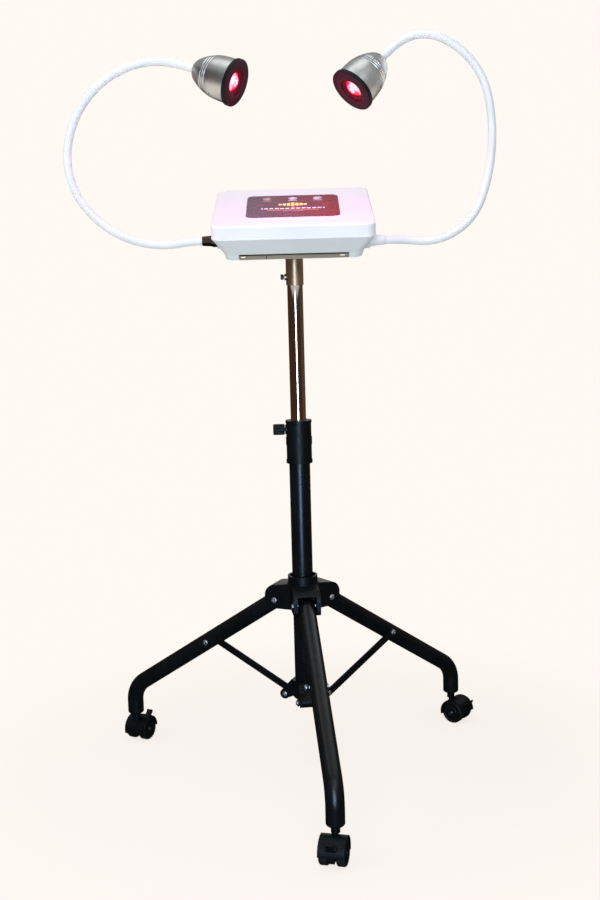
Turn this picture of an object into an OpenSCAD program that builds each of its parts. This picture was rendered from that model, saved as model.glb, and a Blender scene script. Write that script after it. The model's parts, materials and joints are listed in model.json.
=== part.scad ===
// Light therapy stand: a folding three-legged trolley stand that carries a control box
// with two gooseneck lamps. Origin on the floor under the post; -Y faces the user.

/* [Casters] */
// Diameter of a caster wheel
wheel_d = 40; // [38:0.5:42]
// Width of one of the two wheels of a caster
wheel_w = 13.5; // [11:0.5:14]
// Distance from a caster's stem to its axle, seen from above
trail = 13; // [11:0.5:15]
// Way the front caster trails, from +X
front_caster_way = -104; // [-180:1:180]
// Way the right caster trails, from +X
right_caster_way = -38; // [-180:1:180]
// Way the left caster trails, from +X
left_caster_way = 63; // [-180:1:180]

/* [Legs] */
// Diameter of a leg tube
leg_d = 28; // [25:0.5:29]
// Wall of a leg tube
leg_wall = 1.5; // [1.2:0.1:2]
// Slope of a leg below level
leg_slope = 33.05; // [31:0.05:34.5]
// Radius of the bend above the caster, on the tube's centre line
leg_bend_r = 45; // [40:1:50]
// Distance from the post's axis to the lower end of a leg
stance_r = 334; // [310:1:345]
// Height of the lower end of a leg above the floor
leg_end_z = 53.2; // [52:0.2:56]
// Turn of the whole stance, which brings the front leg to the right
stance_yaw = 6.4; // [0:0.1:30]

/* [Fold linkage] */
// Distance of the hub pins from the post's axis
hub_pin_r = 43.3; // [42:0.1:44]
// Distance of the collar pins from the post's axis
collar_pin_r = 35.5; // [35:0.1:38]
// Height of the hub pins
hub_pin_z = 290.6; // [285:0.2:296]
// Distance from a hub pin to the brace pin on its leg
leg_link = 162.8; // [158:0.1:166]
// Length of a brace between its pins
brace_link = 163.5; // [160:0.1:168]
// Width of a brace bar
brace_w = 12; // [10:0.5:13]
// Thickness of a brace bar
brace_t = 3; // [2.5:0.1:3]

/* [Mast and post] */
// Diameter of the black outer tube
tube_d = 34; // [33:0.5:34.5]
// Wall of the black outer tube
tube_wall = 1.5; // [1.2:0.1:1.8]
// Diameter of the chrome post
post_d = 25; // [24:0.5:25.5]
// Height of the lower end of the clamp collar
clamp_z = 520.2; // [515:0.2:530]
// Height of the clamp collar itself
clamp_h = 70; // [66:1:76]
// Diameter of the knob that locks the post
knob_d = 18; // [16:0.5:22]

/* [Control box] */
// Width of the box at its seam
box_w = 250; // [240:1:260]
// Depth of the box at its seam
box_d = 229; // [220:1:236]
// Height of the lid
lid_h = 21.4; // [20:0.2:26]
// Height of the tray
tray_h = 27.2; // [25:0.2:32]
// Forward tilt of the box
box_tilt = 17.8; // [12:0.2:20]
// Height of the middle of the lid's top
box_z = 931.2; // [925:0.2:950]
// Width of the control panel
panel_w = 146; // [130:1:160]
// Depth of the control panel
panel_d = 133; // [120:1:140]
// Diameter of a panel key
key_d = 14; // [12:0.5:16]

/* [Necks and lamps] */
// Diameter of a gooseneck in its sleeve
neck_d = 12.5; // [12:0.1:13.5]
// Distance of the necks in front of the post's axis
neck_front = 45; // [40:1:50]
// Distance from the middle to the outer end of a neck gland
gland_x = 142; // [138:1:150]
// Diameter of a lamp's front ring
lamp_d = 71; // [70:0.5:74]
// Length of a lamp from its back plate to its face
lamp_l = 74.4; // [73:0.2:77]

/* [Hidden] */
$fn = 64;

// Fits: running fit and snug fit on the radius, and the air kept between other pieces
run_gap = 0.05;
snug = 0.01;
air = 0.4;
over = 1;

// Legs are numbered 0 front, 1 right, 2 left, turning anticlockwise from above
leg_way = [-90 + stance_yaw, 30 + stance_yaw, 150 + stance_yaw];
caster_way = [front_caster_way, right_caster_way, left_caster_way];

// A leg: straight tube, bend and upright end
bend_turn = 90 - leg_slope;
bend_tangent = leg_bend_r * tan(bend_turn / 2);
leg_straight = (stance_r - hub_pin_r) / cos(leg_slope) - bend_tangent;
knee_z = hub_pin_z - (stance_r - hub_pin_r) * tan(leg_slope) - bend_tangent;
bend_thin = 0.1;
lap_turn = 0.5;
leg_solid = 20;
plug_rim = 4;
plug_edge_r = 3;
plug_depth = 26;
stem_d = 11;
stem_in = 20;

// Fold: each brace meets its leg; the hub wanders a little as it rides up the tube
brace_pin_r = hub_pin_r + leg_link * cos(leg_slope);
brace_pin_z = hub_pin_z - leg_link * sin(leg_slope);
brace_slope = acos((brace_pin_r - collar_pin_r) / brace_link);
collar_pin_z = brace_pin_z - brace_link * sin(brace_slope);
hub_pin_d = 6;
brace_pin_d = 5;
hub_play = 1.4;
open_pivot_gap = 1.75;
side_gap = 1.3;
brace_out = leg_d / 2 + side_gap;

// Hub
hub_d = 52;
hub_rim_d = 49;
hub_lift = 0.8;
ear_step = 0.05;
hub_low = hub_pin_z - 14;
hub_top = hub_pin_z + 42;
hub_rim_h = 11;
ear_w = 44;
ear_slot = leg_d + 3;
ear_web = 0.6;
ear_r = 60;
ear_top_r = 18;
ear_low_r = 8;
ear_shoulder = 8;
ear_rise = 6;
hub_cup_depth = 6;
rivet_head_d = 9.4;
rivet_head_t = 2.1;
small_head_d = 8.5;
ear_roof_z = hub_pin_z + 18;

// Lower collar and its lugs
collar_d = 42;
collar_low = collar_pin_z - 3.5;
collar_h = 32;
collar_edge_r = 5;
collar_floor = 4;
lug_in = 2;
lug_r = 8.5;
lug_plus = 7;
lug_minus = leg_d / 2;

// Caster
axle_z = wheel_d / 2;
axle_d = 6;
hub_gap = 1;
web_w = 10;
hood_in = wheel_d / 2 + 1;
hood_out = hood_in + 2.4;
hood_w = 2 * (web_w / 2 + hub_gap + wheel_w);
hood_turn = 196;
hood_foot = 8;
hood_low = 11;
stem_collar_d = 13.5;
lever_turn = 32;
lever_r = hood_out + 1;
lever_w = 11;
lever_tilt = 55;
lever_bend = 30;
lever_l = 11;
lever_tip = 5;
lever_t = 2.4;
lever_hub_d = 6.4;
lever_pin_d = 3;
lever_cheek = 1.3;
wheel_edge_r = 2.5;
wheel_groove = [1.2, 0.8];
wheel_groove_in = 6.5;

// Clamp
clamp_d = 41;
clamp_screw_z = clamp_z + clamp_h - 15;
clamp_lip = 7;
clamp_bands = [[0, 6], [30, 13], [clamp_h - 4, 4]];
clamp_band_t = 0.8;
clamp_boss_d = 16;
boss_x = 22;
knob_flute_d = 1.6;
pad_d = 8;
pad_back = 15.8;
screw_d = 6;
knob_near = 22.6;
knob_far = 41.5;
tube_low = collar_low + collar_floor;
tube_top = clamp_z + clamp_h - clamp_lip;
bush_h = 55;
end_bush_h = 12;

// Post and bracket
post_wall = 1.5;
post_low = 338;
post_top = 865;
sleeve_low = 807.2;
sleeve_d = 28;
plate_t = 2.5;
plate_w = 168;
plate_d = 190;
flange_h = 9;
side_screw_z = 820.2;
side_screw_d = 5;
plate_hole = 70;
plate_screw_d = 4;
plate_screw_l = 9;
screw_play = 0.5;
slot_u = [-78, 74];
slot_w = 7;
slot_h = 2.6;
slot_low = 6.5;
flange_split_u = -43;
flange_split_w = 1.2;
boss_d = 10;
side_knob_d = 8.5;
side_knob_l = 4.5;
side_knob_gap = 4;

// Box, in its own frame: origin in the middle of the lid's top, X right, Y back, Z up
wall = 2.5;
lid_draft = 0.8;
lid_lip = 2.5;
// Rounded top edge of the lid in steps: [narrower by, below the top, thickness]
lid_edge = [[6.4, 0.1, 0.1], [3, 1, 0.4], [1, 3, 0.4]];
skin_t = 0.4;
corner_r = 14;
tray_low = -(lid_h + tray_h);
tray_in = 16.6;
foot_h = 9.4;
foot_in = 3;
foot_w = 22;
panel_t = 1.2;
panel_r = 12;
panel_sunk = 0.6;
key_u = [-41, 0, 40];
key_v = 46;
key_proud = 0.9;
key_cap = 3.2;
board_w = 130;
board_d = 110;
board_z = -14;
board_t = 1.6;
case_u = 94;
case_v = 84;
case_screw_d = 3.4;
lid_screw_depth = 14;
case_head_d = 6.4;
case_head_t = 2.6;
post_boss_d = 8;
board_boss_d = 7;
board_boss_in = 5;
switch_w = 6;
switch_h = 3.4;
key_stem_d = 5;
key_stem_gap = 1.15;
chip = [14, 14, 2];
relay = [12, 10, 8];
capacitor_d = 10;
supply = [70, 42, 14];
supply_at = [-35, -58];
inlet_at = [-60, -35];
inlet_d = 11;
inlet_rim_d = 14;
inlet_bore_d = 5.6;
inlet_pin_d = 2.1;
gland_seat = 118;
gland_seat_t = 8;
gland_seat_d = 24;
gland_thread_d = 12;
gland_thread_l = 10;
gland_hex_h = 8;
gland_nose_d = 17;

// Necks: [length, turn, roll before it]; a turn lifts the neck towards its own inner side
neck_left = [[35, -8.5, 0], [80.5, 30.5, 0], [80.5, 30.5, 0], [100, 47.5, 0], [77.5, 30, 0],
             [77.5, 30, 0], [72.6, 32.5, 0], [33.5, 23.5, -65.8]];
neck_right = [[50, -6.5, 0], [64, 38.5, 0], [64, 38.5, 0], [154, 31, 0], [61, 28.7, 0],
              [61, 28.7, 0], [63.3, 55.9, 0], [35.9, 24.3, 62]];
neck_start_z = [878.3, 873.3];
joint_at = [2, 5, 8];
socket_gap = 0.6;
spigot_d = 9;
spigot_l = 25;
gland_hex = 19;

// Lamp along Z from the ball of its neck: profile of the bell as [distance, radius]
lamp_back = 1.4;
bell = [[0, 9], [2.5, 9.2], [2.6, 12.6], [6.6, 16.8], [12.6, 20.8], [18.6, 24.2], [24.8, 26.9],
        [31, 29.2], [37, 31], [45, 32.3], [58, 33.2], [68.4, 33.2]];
shell_l = 68.4;
bell_wall = 2.2;
bell_floor = 6;
lens_d = 29.6;
groove_d = 2.2;
groove_at = [[28.2, 25.6], [29.5, 29.9], [30.8, 34.2]];
set_screw_turn = [38, 328];
set_screw_z = 46;
set_screw_d = 2.6;
ring_spigot_d = 62;
ring_spigot_l = 8;
ring_recess_d = 40;
ring_recess_t = 3;
lens_t = 5.5;
lens_dome_r = 20;
led_plate_d = 40;
led_plate_t = 2;
led_d = 9;
fin = [15, 2, 10];

// Places a piece on leg k, with X outwards, Y along the turn and Z up
module at_leg(k) {
    rotate([0, 0, leg_way[k]]) children();
}

// Places a piece on the stem of caster k, with X the way it trails
module at_caster(k) {
    at_leg(k) translate([stance_r, 0, 0]) rotate([0, 0, caster_way[k] - leg_way[k]]) children();
}

// Places a piece in the frame of the box
module in_box() {
    translate([0, 0, box_z]) rotate([box_tilt, 0, 0]) children();
}

// Round bar along Y
module bar_y(d, from, to) {
    translate([0, from, 0]) rotate([-90, 0, 0]) cylinder(d = d, h = to - from);
}

// Round bar along X
module bar_x(d, from, to) {
    translate([from, 0, 0]) rotate([0, 90, 0]) cylinder(d = d, h = to - from);
}

// Ring or tube standing on the Z axis
module pipe(d, bore, low, high) {
    difference() {
        translate([0, 0, low]) cylinder(d = d, h = high - low);
        translate([0, 0, low - over]) cylinder(d = bore, h = high - low + 2 * over);
    }
}

// Rivet along Y with a stepped head at each end
module rivet(d, from, to, head_d, head_t) {
    bar_y(d, from - snug, to + snug);
    for (side = [[to, 1], [from, -1]])
        translate([0, side[0], 0]) rotate([-90 * side[1], 0, 0]) {
            cylinder(d = head_d, h = head_t * 0.6);
            cylinder(d = head_d * 0.7, h = head_t);
        }
}

// Path of a leg as a solid: straight length from past the hub pin, bend and upright length
module leg_run(d, start, down) {
    translate([hub_pin_r, 0, hub_pin_z]) rotate([0, 90 + leg_slope, 0]) translate([0, 0, start])
        cylinder(d = d, h = leg_straight - start);
    translate([stance_r - leg_bend_r, 0, knee_z]) rotate([90, lap_turn, 0])
        rotate_extrude(angle = bend_turn + 2 * lap_turn) translate([leg_bend_r, 0])
            circle(d = d - bend_thin);
    translate([stance_r, 0, down]) cylinder(d = d, h = knee_z - down);
}

module leg_tube(k) color("#15171a") at_leg(k) difference() {
    union() {
        leg_run(leg_d, 0, leg_end_z + plug_rim);
        translate([hub_pin_r, 0, hub_pin_z]) sphere(d = leg_d + bend_thin);
    }
    leg_run(leg_d - 2 * leg_wall, leg_solid, leg_end_z + plug_rim - over);
    translate([hub_pin_r, 0, hub_pin_z]) bar_y(hub_pin_d + 2 * run_gap, -leg_d, leg_d);
    translate([brace_pin_r, 0, brace_pin_z]) bar_y(brace_pin_d, -leg_d, leg_d);
}

module leg_plug(k) color("#101113") at_leg(k) translate([stance_r, 0, leg_end_z]) difference() {
    union() {
        rotate_extrude() intersection() {
            square([leg_d / 2, plug_rim]);
            union() {
                square([leg_d / 2 - plug_edge_r, plug_rim]);
                translate([0, plug_edge_r]) square([leg_d / 2, plug_rim]);
                translate([leg_d / 2 - plug_edge_r, plug_edge_r]) circle(r = plug_edge_r);
            }
        }
        cylinder(d = leg_d - 2 * leg_wall - 2 * snug, h = plug_rim + plug_depth);
    }
    translate([0, 0, -over]) cylinder(d = stem_d + 2 * run_gap, h = stem_in + 3 * over);
}

module brace_pin(k) color("#c9ccd0") at_leg(k) translate([brace_pin_r, 0, brace_pin_z])
    rivet(brace_pin_d - 2 * snug, -brace_out - brace_t - side_gap, leg_d / 2 + snug,
          rivet_head_d, rivet_head_t);

// The brace of leg 2 turns on its pin; the others leave a wider hole round an open pivot
module brace(k) {
    outer_gap = k == 2 ? run_gap : open_pivot_gap;
    color("#17191c") at_leg(k) difference() {
        translate([0, -brace_out, 0]) rotate([90, 0, 0]) linear_extrude(brace_t) {
            translate([collar_pin_r, collar_pin_z]) rotate(brace_slope) {
                translate([0, -brace_w / 2]) square([brace_link, brace_w]);
                circle(d = brace_w);
                translate([brace_link, 0]) circle(d = brace_w);
            }
        }
        translate([collar_pin_r, 0, collar_pin_z]) bar_y(brace_pin_d + 2 * run_gap, -leg_d, 0);
        translate([brace_pin_r, 0, brace_pin_z]) bar_y(brace_pin_d + 2 * outer_gap, -leg_d, 0);
    }
}

module ear_profile() {
    top_z = hub_pin_z + ear_shoulder;
    polygon([[0, hub_low], [ear_r - ear_low_r, hub_low], [ear_r, hub_low + ear_low_r], [ear_r, top_z],
             [ear_r - ear_top_r, top_z + ear_top_r], [0, top_z + ear_top_r + ear_rise]]);
    translate([ear_r - ear_top_r, top_z]) circle(r = ear_top_r);
    translate([ear_r - ear_low_r, hub_low + ear_low_r]) circle(r = ear_low_r);
}

// Each ear sits a hair higher than the last, so that no two of their faces share a plane
module leg_hub() color("#121315") difference() {
    union() {
        translate([0, 0, hub_low + hub_lift])
            cylinder(d = hub_d, h = hub_top - hub_rim_h - hub_low - hub_lift);
        translate([0, 0, hub_low + 2 * hub_lift])
            cylinder(d = hub_rim_d, h = hub_top - hub_low - 2 * hub_lift);
        for (k = [0:2]) at_leg(k) translate([0, ear_w / 2, k * ear_step]) rotate([90, 0, 0])
            linear_extrude(ear_w) ear_profile();
    }
    translate([0, 0, hub_low - over]) cylinder(d = tube_d + 2 * hub_play, h = hub_top);
    translate([0, 0, hub_top - hub_cup_depth]) cylinder(d = hub_rim_d - hub_cup_depth, h = hub_rim_h);
    for (k = [0:2]) at_leg(k) {
        translate([hub_d / 2 + ear_web, -ear_slot / 2, hub_low - over])
            cube([ear_r, ear_slot, ear_roof_z - hub_low + over]);
        translate([hub_pin_r, 0, hub_pin_z]) bar_y(hub_pin_d, -ear_w, ear_w);
    }
}

module hub_pins() color("#d4d7da") for (k = [0:2]) at_leg(k) translate([hub_pin_r, 0, hub_pin_z])
    rivet(hub_pin_d - 2 * snug, -ear_w / 2 - snug, ear_w / 2 + snug, rivet_head_d, rivet_head_t);

module lower_collar() color("#121315") difference() {
    union() {
        translate([0, 0, collar_low]) rotate_extrude() {
            square([collar_d / 2 - collar_edge_r, collar_h]);
            translate([0, collar_edge_r]) square([collar_d / 2, collar_h - collar_edge_r]);
            translate([collar_d / 2 - collar_edge_r, collar_edge_r]) circle(r = collar_edge_r);
        }
        for (k = [0:2]) at_leg(k) translate([0, lug_plus, 0]) rotate([90, 0, 0])
            linear_extrude(lug_plus + lug_minus) {
                polygon([[tube_d / 2 + lug_in, collar_low + lug_in], [collar_pin_r, collar_pin_z - lug_r],
                         [collar_pin_r + lug_r * cos(45), collar_pin_z + lug_r * sin(45)],
                         [collar_d / 2 + lug_in, collar_low + collar_h - lug_in],
                         [tube_d / 2 + lug_in, collar_low + collar_h - lug_in]]);
                translate([collar_pin_r, collar_pin_z]) circle(r = lug_r);
            }
    }
    translate([0, 0, tube_low]) cylinder(d = tube_d + 2 * snug, h = collar_h);
    for (k = [0:2]) at_leg(k) translate([collar_pin_r, 0, collar_pin_z])
        bar_y(brace_pin_d, -lug_minus - over, lug_plus + over);
}

module collar_pins() color("#c9ccd0") for (k = [0:2]) at_leg(k)
    translate([collar_pin_r, 0, collar_pin_z])
        rivet(brace_pin_d - 2 * snug, -brace_out - brace_t - air, lug_plus + snug,
              small_head_d, rivet_head_t);

module outer_tube() color("#16181b") difference() {
    pipe(tube_d, tube_d - 2 * tube_wall, tube_low, tube_top);
    translate([0, 0, clamp_screw_z]) bar_x(pad_d + 4 * run_gap, -tube_d, 0);
}

module clamp_collar() color("#111214") difference() {
    union() {
        translate([0, 0, clamp_z]) cylinder(d = clamp_d, h = clamp_h);
        for (band = clamp_bands) translate([0, 0, clamp_z + band[0]])
            cylinder(d = clamp_d + 2 * clamp_band_t, h = band[1]);
        translate([0, 0, clamp_screw_z]) bar_x(clamp_boss_d, -boss_x, -tube_d / 2);
    }
    translate([0, 0, clamp_z - over]) cylinder(d = tube_d + 2 * snug, h = tube_top - clamp_z + over);
    translate([0, 0, clamp_z]) cylinder(d = post_d + 1.2, h = clamp_h + over);
    translate([0, 0, clamp_screw_z]) bar_x(screw_d + 2 * run_gap, -boss_x - over, 0);
}

module tube_bush() color("#2a2c2f") difference() {
    pipe(tube_d - 2 * tube_wall - 2 * snug, post_d + 2 * run_gap, tube_top - bush_h, tube_top - air);
    translate([0, 0, clamp_screw_z]) bar_x(pad_d + 2 * run_gap, -tube_d, 0);
}

module pressure_pad() color("#b08a4a") translate([0, 0, clamp_screw_z])
    bar_x(pad_d, -pad_back, -post_d / 2 - 2 * run_gap);

module clamp_knob() color("#0e0f10") translate([0, 0, clamp_screw_z]) {
    bar_x(screw_d, -knob_near, -pad_back - run_gap);
    difference() {
        bar_x(knob_d, -knob_far, -knob_near);
        for (a = [0:20:340]) rotate([a, 0, 0]) translate([0, 0, knob_d / 2])
            bar_x(knob_flute_d, -knob_far - over, -knob_near - knob_flute_d);
    }
}

module chrome_post() color("#c8cacc") pipe(post_d, post_d - 2 * post_wall, post_low, post_top);

module post_end_bush() color("#2a2c2f") {
    translate([0, 0, post_low - end_bush_h])
        cylinder(d = tube_d - 2 * tube_wall - 4 * run_gap, h = end_bush_h - snug);
    translate([0, 0, post_low - over])
        cylinder(d = post_d - 2 * post_wall - 2 * snug, h = end_bush_h + over);
}

module mount_bracket() color("#c9b896") difference() {
    union() {
        difference() {
            translate([0, 0, sleeve_low]) cylinder(d = sleeve_d, h = box_z - sleeve_low);
            in_box() translate([-box_w, -box_d, tray_low - plate_t])
                cube([2 * box_w, 2 * box_d, box_z]);
        }
        in_box() translate([-plate_w / 2, -plate_d / 2, tray_low - plate_t - snug])
            cube([plate_w, plate_d, plate_t]);
        in_box() for (side = [-1, 1])
            translate([-plate_w / 2, side * (plate_d - plate_t) / 2 - plate_t / 2, tray_low - flange_h])
                cube([plate_w, plate_t, flange_h - snug]);
        translate([0, 0, side_screw_z]) bar_x(boss_d, -sleeve_d / 2 - plate_t, 0);
    }
    translate([0, 0, sleeve_low - over]) cylinder(d = post_d + 2 * run_gap, h = post_top + 4 - sleeve_low);
    translate([0, 0, side_screw_z]) bar_x(side_screw_d + 2 * run_gap, -sleeve_d, 0);
    in_box() {
        for (u = [-1, 1], v = [-1, 1])
            translate([u * plate_hole, v * plate_hole, tray_low - flange_h])
                cylinder(d = plate_screw_d + screw_play, h = flange_h + over);
        for (u = slot_u) translate([u - slot_w / 2, -plate_d / 2 - over, tray_low - slot_low])
            cube([slot_w, plate_t + 2 * over, slot_h]);
        translate([flange_split_u, -plate_d / 2 - over, tray_low - flange_h - over])
            cube([flange_split_w, plate_t + 2 * over, flange_h - plate_t]);
    }
}

module bracket_screw() color("#3a3c3f") translate([0, 0, side_screw_z]) {
    near = -sleeve_d / 2 - side_knob_gap;
    bar_x(side_screw_d, near - over, -post_d / 2 - 2 * run_gap);
    difference() {
        bar_x(side_knob_d, near - side_knob_l, near);
        for (a = [0:30:330]) rotate([a, 0, 0]) translate([0, 0, side_knob_d / 2])
            bar_x(over, near - side_knob_l - over, near - over);
    }
}

module plate_screws() color("#8c8f93") in_box() for (u = [-1, 1], v = [-1, 1])
    translate([u * plate_hole, v * plate_hole, tray_low - plate_t - 2 * snug]) {
        translate([0, 0, -plate_t]) cylinder(d = 2 * plate_screw_d, h = plate_t);
        cylinder(d = plate_screw_d - 2 * snug, h = plate_screw_l);
    }

// Flat rectangle with round corners
module rounded(w, d, r) {
    square([w - 2 * r, d], center = true);
    square([w, d - 2 * r], center = true);
    for (u = [-1, 1], v = [-1, 1]) translate([u * (w / 2 - r), v * (d / 2 - r)]) circle(r = r);
}

// Thin slab with round corners, used in hulls
module slab(w, d, z, t, r) {
    translate([0, 0, z]) linear_extrude(t) rounded(w, d, r, $fn = 32);
}

// Outer or inner skin of the lid: straight sides with a rounded top edge
module lid_skin(inset) {
    w = box_w - 2 * (lid_draft + inset);
    d = box_d - 2 * (lid_draft + inset);
    r = corner_r - inset;
    top = -inset;
    low = inset > 0 ? -lid_h - over : -lid_h;
    hull() {
        for (e = lid_edge) slab(w - e[0], d - e[0], top - e[1], e[2], r);
        slab(w, d, low, skin_t, r);
    }
}

module tray_skin(inset) {
    w = box_w - 2 * (lid_draft + inset);
    d = box_d - 2 * (lid_draft + inset);
    r = corner_r - inset;
    low = inset > 0 ? tray_low + inset : tray_low;
    hull() {
        slab(w, d, -lid_h - skin_t + (inset > 0 ? over : 0) - snug, skin_t, r);
        slab(w - 2 * tray_in, d - 2 * tray_in, low, skin_t / 2, r);
    }
}

module box_lid() color("#f4eef4") in_box() difference() {
    union() {
        difference() {
            union() {
                lid_skin(0);
                translate([0, 0, -lid_h]) linear_extrude(lid_lip) rounded(box_w, box_d, corner_r + 1);
            }
            lid_skin(wall);
        }
        for (u = [-1, 1], v = [-1, 1]) {
            translate([u * case_u, v * case_v, -lid_h]) cylinder(d = post_boss_d, h = lid_h - wall / 2);
            translate([u * (board_w / 2 - board_boss_in), v * (board_d / 2 - board_boss_in),
                       board_z + board_t + snug])
                cylinder(d = board_boss_d, h = -board_z - board_t - wall / 2);
        }
    }
    translate([0, 0, -panel_sunk]) linear_extrude(panel_t)
        rounded(panel_w + air, panel_d + air, panel_r + air / 2);
    for (u = key_u) translate([u, key_v, -2 * wall]) cylinder(d = key_d + 2 * air, h = 3 * wall);
    for (u = [-1, 1], v = [-1, 1]) translate([u * case_u, v * case_v, -lid_h - over])
        cylinder(d = case_screw_d + 2 * run_gap, h = lid_screw_depth);
}

module box_tray() color("#d5dcde") in_box() difference() {
    union() {
        difference() {
            tray_skin(0);
            tray_skin(wall);
        }
        tray_feet();
        at_glands() cylinder(d = gland_seat_d, h = gland_seat_t);
        for (u = [-1, 1], v = [-1, 1]) {
            translate([u * case_u, v * case_v, tray_low + skin_t])
                cylinder(d = post_boss_d, h = tray_h - skin_t - snug);
            translate([u * plate_hole, v * plate_hole, tray_low + skin_t])
                cylinder(d = 2 * plate_screw_d, h = plate_screw_l - wall);
        }
    }
    for (u = [-1, 1], v = [-1, 1]) {
        translate([u * case_u, v * case_v, tray_low - foot_h - over]) {
            cylinder(d = case_screw_d + 4 * run_gap, h = foot_h + tray_h + 2 * over);
            cylinder(d = case_head_d + 3 * air, h = foot_h + over);
        }
        translate([u * plate_hole, v * plate_hole, tray_low - foot_h])
            cylinder(d = plate_screw_d, h = foot_h + tray_h);
    }
    at_glands() translate([0, 0, -gland_seat_d]) cylinder(d = gland_thread_d, h = 2 * gland_seat_d);
    at_glands() translate([0, 0, gland_seat_t]) cylinder(d = gland_seat_d + 2 * over, h = gland_seat_d);
    inlet_place() bar_y(inlet_d + 4 * run_gap, -2 * inlet_d, 2 * inlet_d);
}

// Places a piece behind the seat of each neck gland, in the frame of the box, with Z outwards
module at_glands() {
    for (side = [-1, 1]) rotate([-box_tilt, 0, 0])
        translate([side * (gland_seat - gland_seat_t), -neck_front, neck_start_z[(side + 1) / 2] - box_z])
            rotate([0, 90 * side, 0]) children();
}

// Four corner feet with chamfered outer sides
module tray_feet() {
    w = box_w - 2 * (lid_draft + tray_in);
    d = box_d - 2 * (lid_draft + tray_in);
    intersection() {
        hull() {
            slab(w, d, tray_low - skin_t / 4, skin_t / 2, corner_r);
            slab(w - 2 * foot_in, d - 2 * foot_in, tray_low - foot_h, skin_t / 2, corner_r - over);
        }
        for (u = [-1, 1], v = [-1, 1]) translate([u * (w - foot_w) / 2, v * (d - foot_w) / 2, tray_low])
            cube([foot_w + 2 * over, foot_w + 2 * over, 2 * foot_h + 2 * over], center = true);
    }
}

module case_screws() color("#8c8f93") in_box() for (u = [-1, 1], v = [-1, 1])
    translate([u * case_u, v * case_v, tray_low]) {
        translate([0, 0, -case_head_t]) cylinder(d = case_head_d, h = case_head_t - snug);
        translate([0, 0, -over]) cylinder(d = case_screw_d, h = tray_h + lid_screw_depth - 3 * over);
    }

module circuit_board() color("#2f6b45") in_box() {
    translate([-board_w / 2, -board_d / 2, board_z]) cube([board_w, board_d, board_t]);
    for (u = key_u) translate([u - switch_w / 2, key_v - switch_w / 2, board_z + board_t - snug])
        cube([switch_w, switch_w, switch_h]);
    translate([-board_w / 5, -board_d / 5, board_z + board_t - snug]) cube(chip);
    for (side = [-1, 1]) {
        translate([side * board_w / 3, -board_d / 3, board_z - capacitor_d])
            cylinder(d = capacitor_d, h = capacitor_d + snug);
        translate([side * board_w * 0.4 - relay[0] / 2, relay[1], board_z - relay[2] + snug]) cube(relay);
    }
}

module power_supply() color("#20242a") in_box()
    translate([supply_at[0], supply_at[1], tray_low + wall + 2 * run_gap]) cube(supply);

module inlet_place() {
    translate([inlet_at[0], box_d / 2 - lid_draft - 9, inlet_at[1]]) children();
}

module power_inlet() color("#151515") in_box() inlet_place() difference() {
    union() {
        bar_y(inlet_d, -inlet_rim_d, inlet_d / 2);
        bar_y(inlet_rim_d, 5, 7);
    }
    difference() {
        bar_y(inlet_bore_d, -4, 8);
        bar_y(inlet_pin_d, -5, 5);
    }
}

module control_panel() color("#4a2f38") in_box() difference() {
    translate([0, 0, -panel_sunk + snug]) linear_extrude(panel_t) rounded(panel_w, panel_d, panel_r);
    for (u = key_u) translate([u, key_v, -wall]) cylinder(d = key_d + 2 * air, h = 2 * wall);
}

module key(i) color("#d9d2dc") in_box() translate([key_u[i], key_v, 0]) {
    translate([0, 0, key_proud + panel_t - panel_sunk - key_cap]) cylinder(d = key_d, h = key_cap);
    stem_low = board_z + board_t + switch_h + key_stem_gap;
    translate([0, 0, stem_low]) cylinder(d = key_stem_d, h = key_proud - key_cap + panel_t - stem_low);
}

module neck_glands() color("#a9a196") for (side = [-1, 1])
    translate([side * (gland_seat + snug), -neck_front, neck_start_z[(side + 1) / 2]])
        rotate([0, 90 * side, 0]) difference() {
            union() {
                cylinder(d = gland_hex, h = gland_hex_h, $fn = 6);
                translate([0, 0, -gland_thread_l])
                    cylinder(d = gland_thread_d - 2 * snug, h = gland_thread_l + over);
                translate([0, 0, gland_hex_h - over]) cylinder(d1 = gland_nose_d, d2 = neck_d + 2,
                    h = gland_x - gland_seat - gland_hex_h + over - air);
            }
            translate([0, 0, -gland_seat_d]) cylinder(d = spigot_d + 2 * run_gap, h = 3 * gland_seat_d);
        }

// Steps of a neck from 'from' up to 'to'; the ones before only place it
module neck_walk(steps, i, from, to) {
    if (i < to) {
        run = steps[i][0];
        turn = steps[i][1];
        rotate([0, 0, steps[i][2]]) {
            r = run * 180 / (PI * abs(turn));
            way = sign(turn);
            if (i >= from) neck_arc(r, turn, i % 2);
            translate([way * r * (1 - cos(turn)), 0, r * sin(abs(turn))]) rotate([0, turn, 0])
                neck_walk(steps, i + 1, from, to);
        }
    }
}

// Arc that starts along +Z and turns towards +X, or towards -X where turn is negative; every
// other arc is a hair thinner and laps into its neighbours
module neck_arc(r, turn, thin) {
    more = thin * lap_turn;
    translate([sign(turn) * r, 0, 0]) mirror([turn > 0 ? 1 : 0, 0, 0]) rotate([90, more, 0])
        rotate_extrude(angle = abs(turn) + 2 * more) translate([r, 0])
            circle(d = neck_d - thin * bend_thin);
}

// Frame at the end of step n of a neck: Z along the neck, X towards its inner side
module neck_frame(steps, i, n) {
    if (i == n) children();
    else {
        run = steps[i][0];
        turn = steps[i][1];
        r = run * 180 / (PI * abs(turn));
        rotate([0, 0, steps[i][2]])
            translate([sign(turn) * r * (1 - cos(turn)), 0, r * sin(abs(turn))]) rotate([0, turn, 0])
                neck_frame(steps, i + 1, n) children();
    }
}

// Places a piece at the start of a neck, with Z outwards and X up
module at_neck(side) {
    translate([side * gland_x, -neck_front, neck_start_z[(side + 1) / 2]])
        rotate([0, 90 * side, 0]) rotate([0, 0, side < 0 ? 0 : 180]) children();
}

function neck_steps(side) = side < 0 ? neck_left : neck_right;

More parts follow.
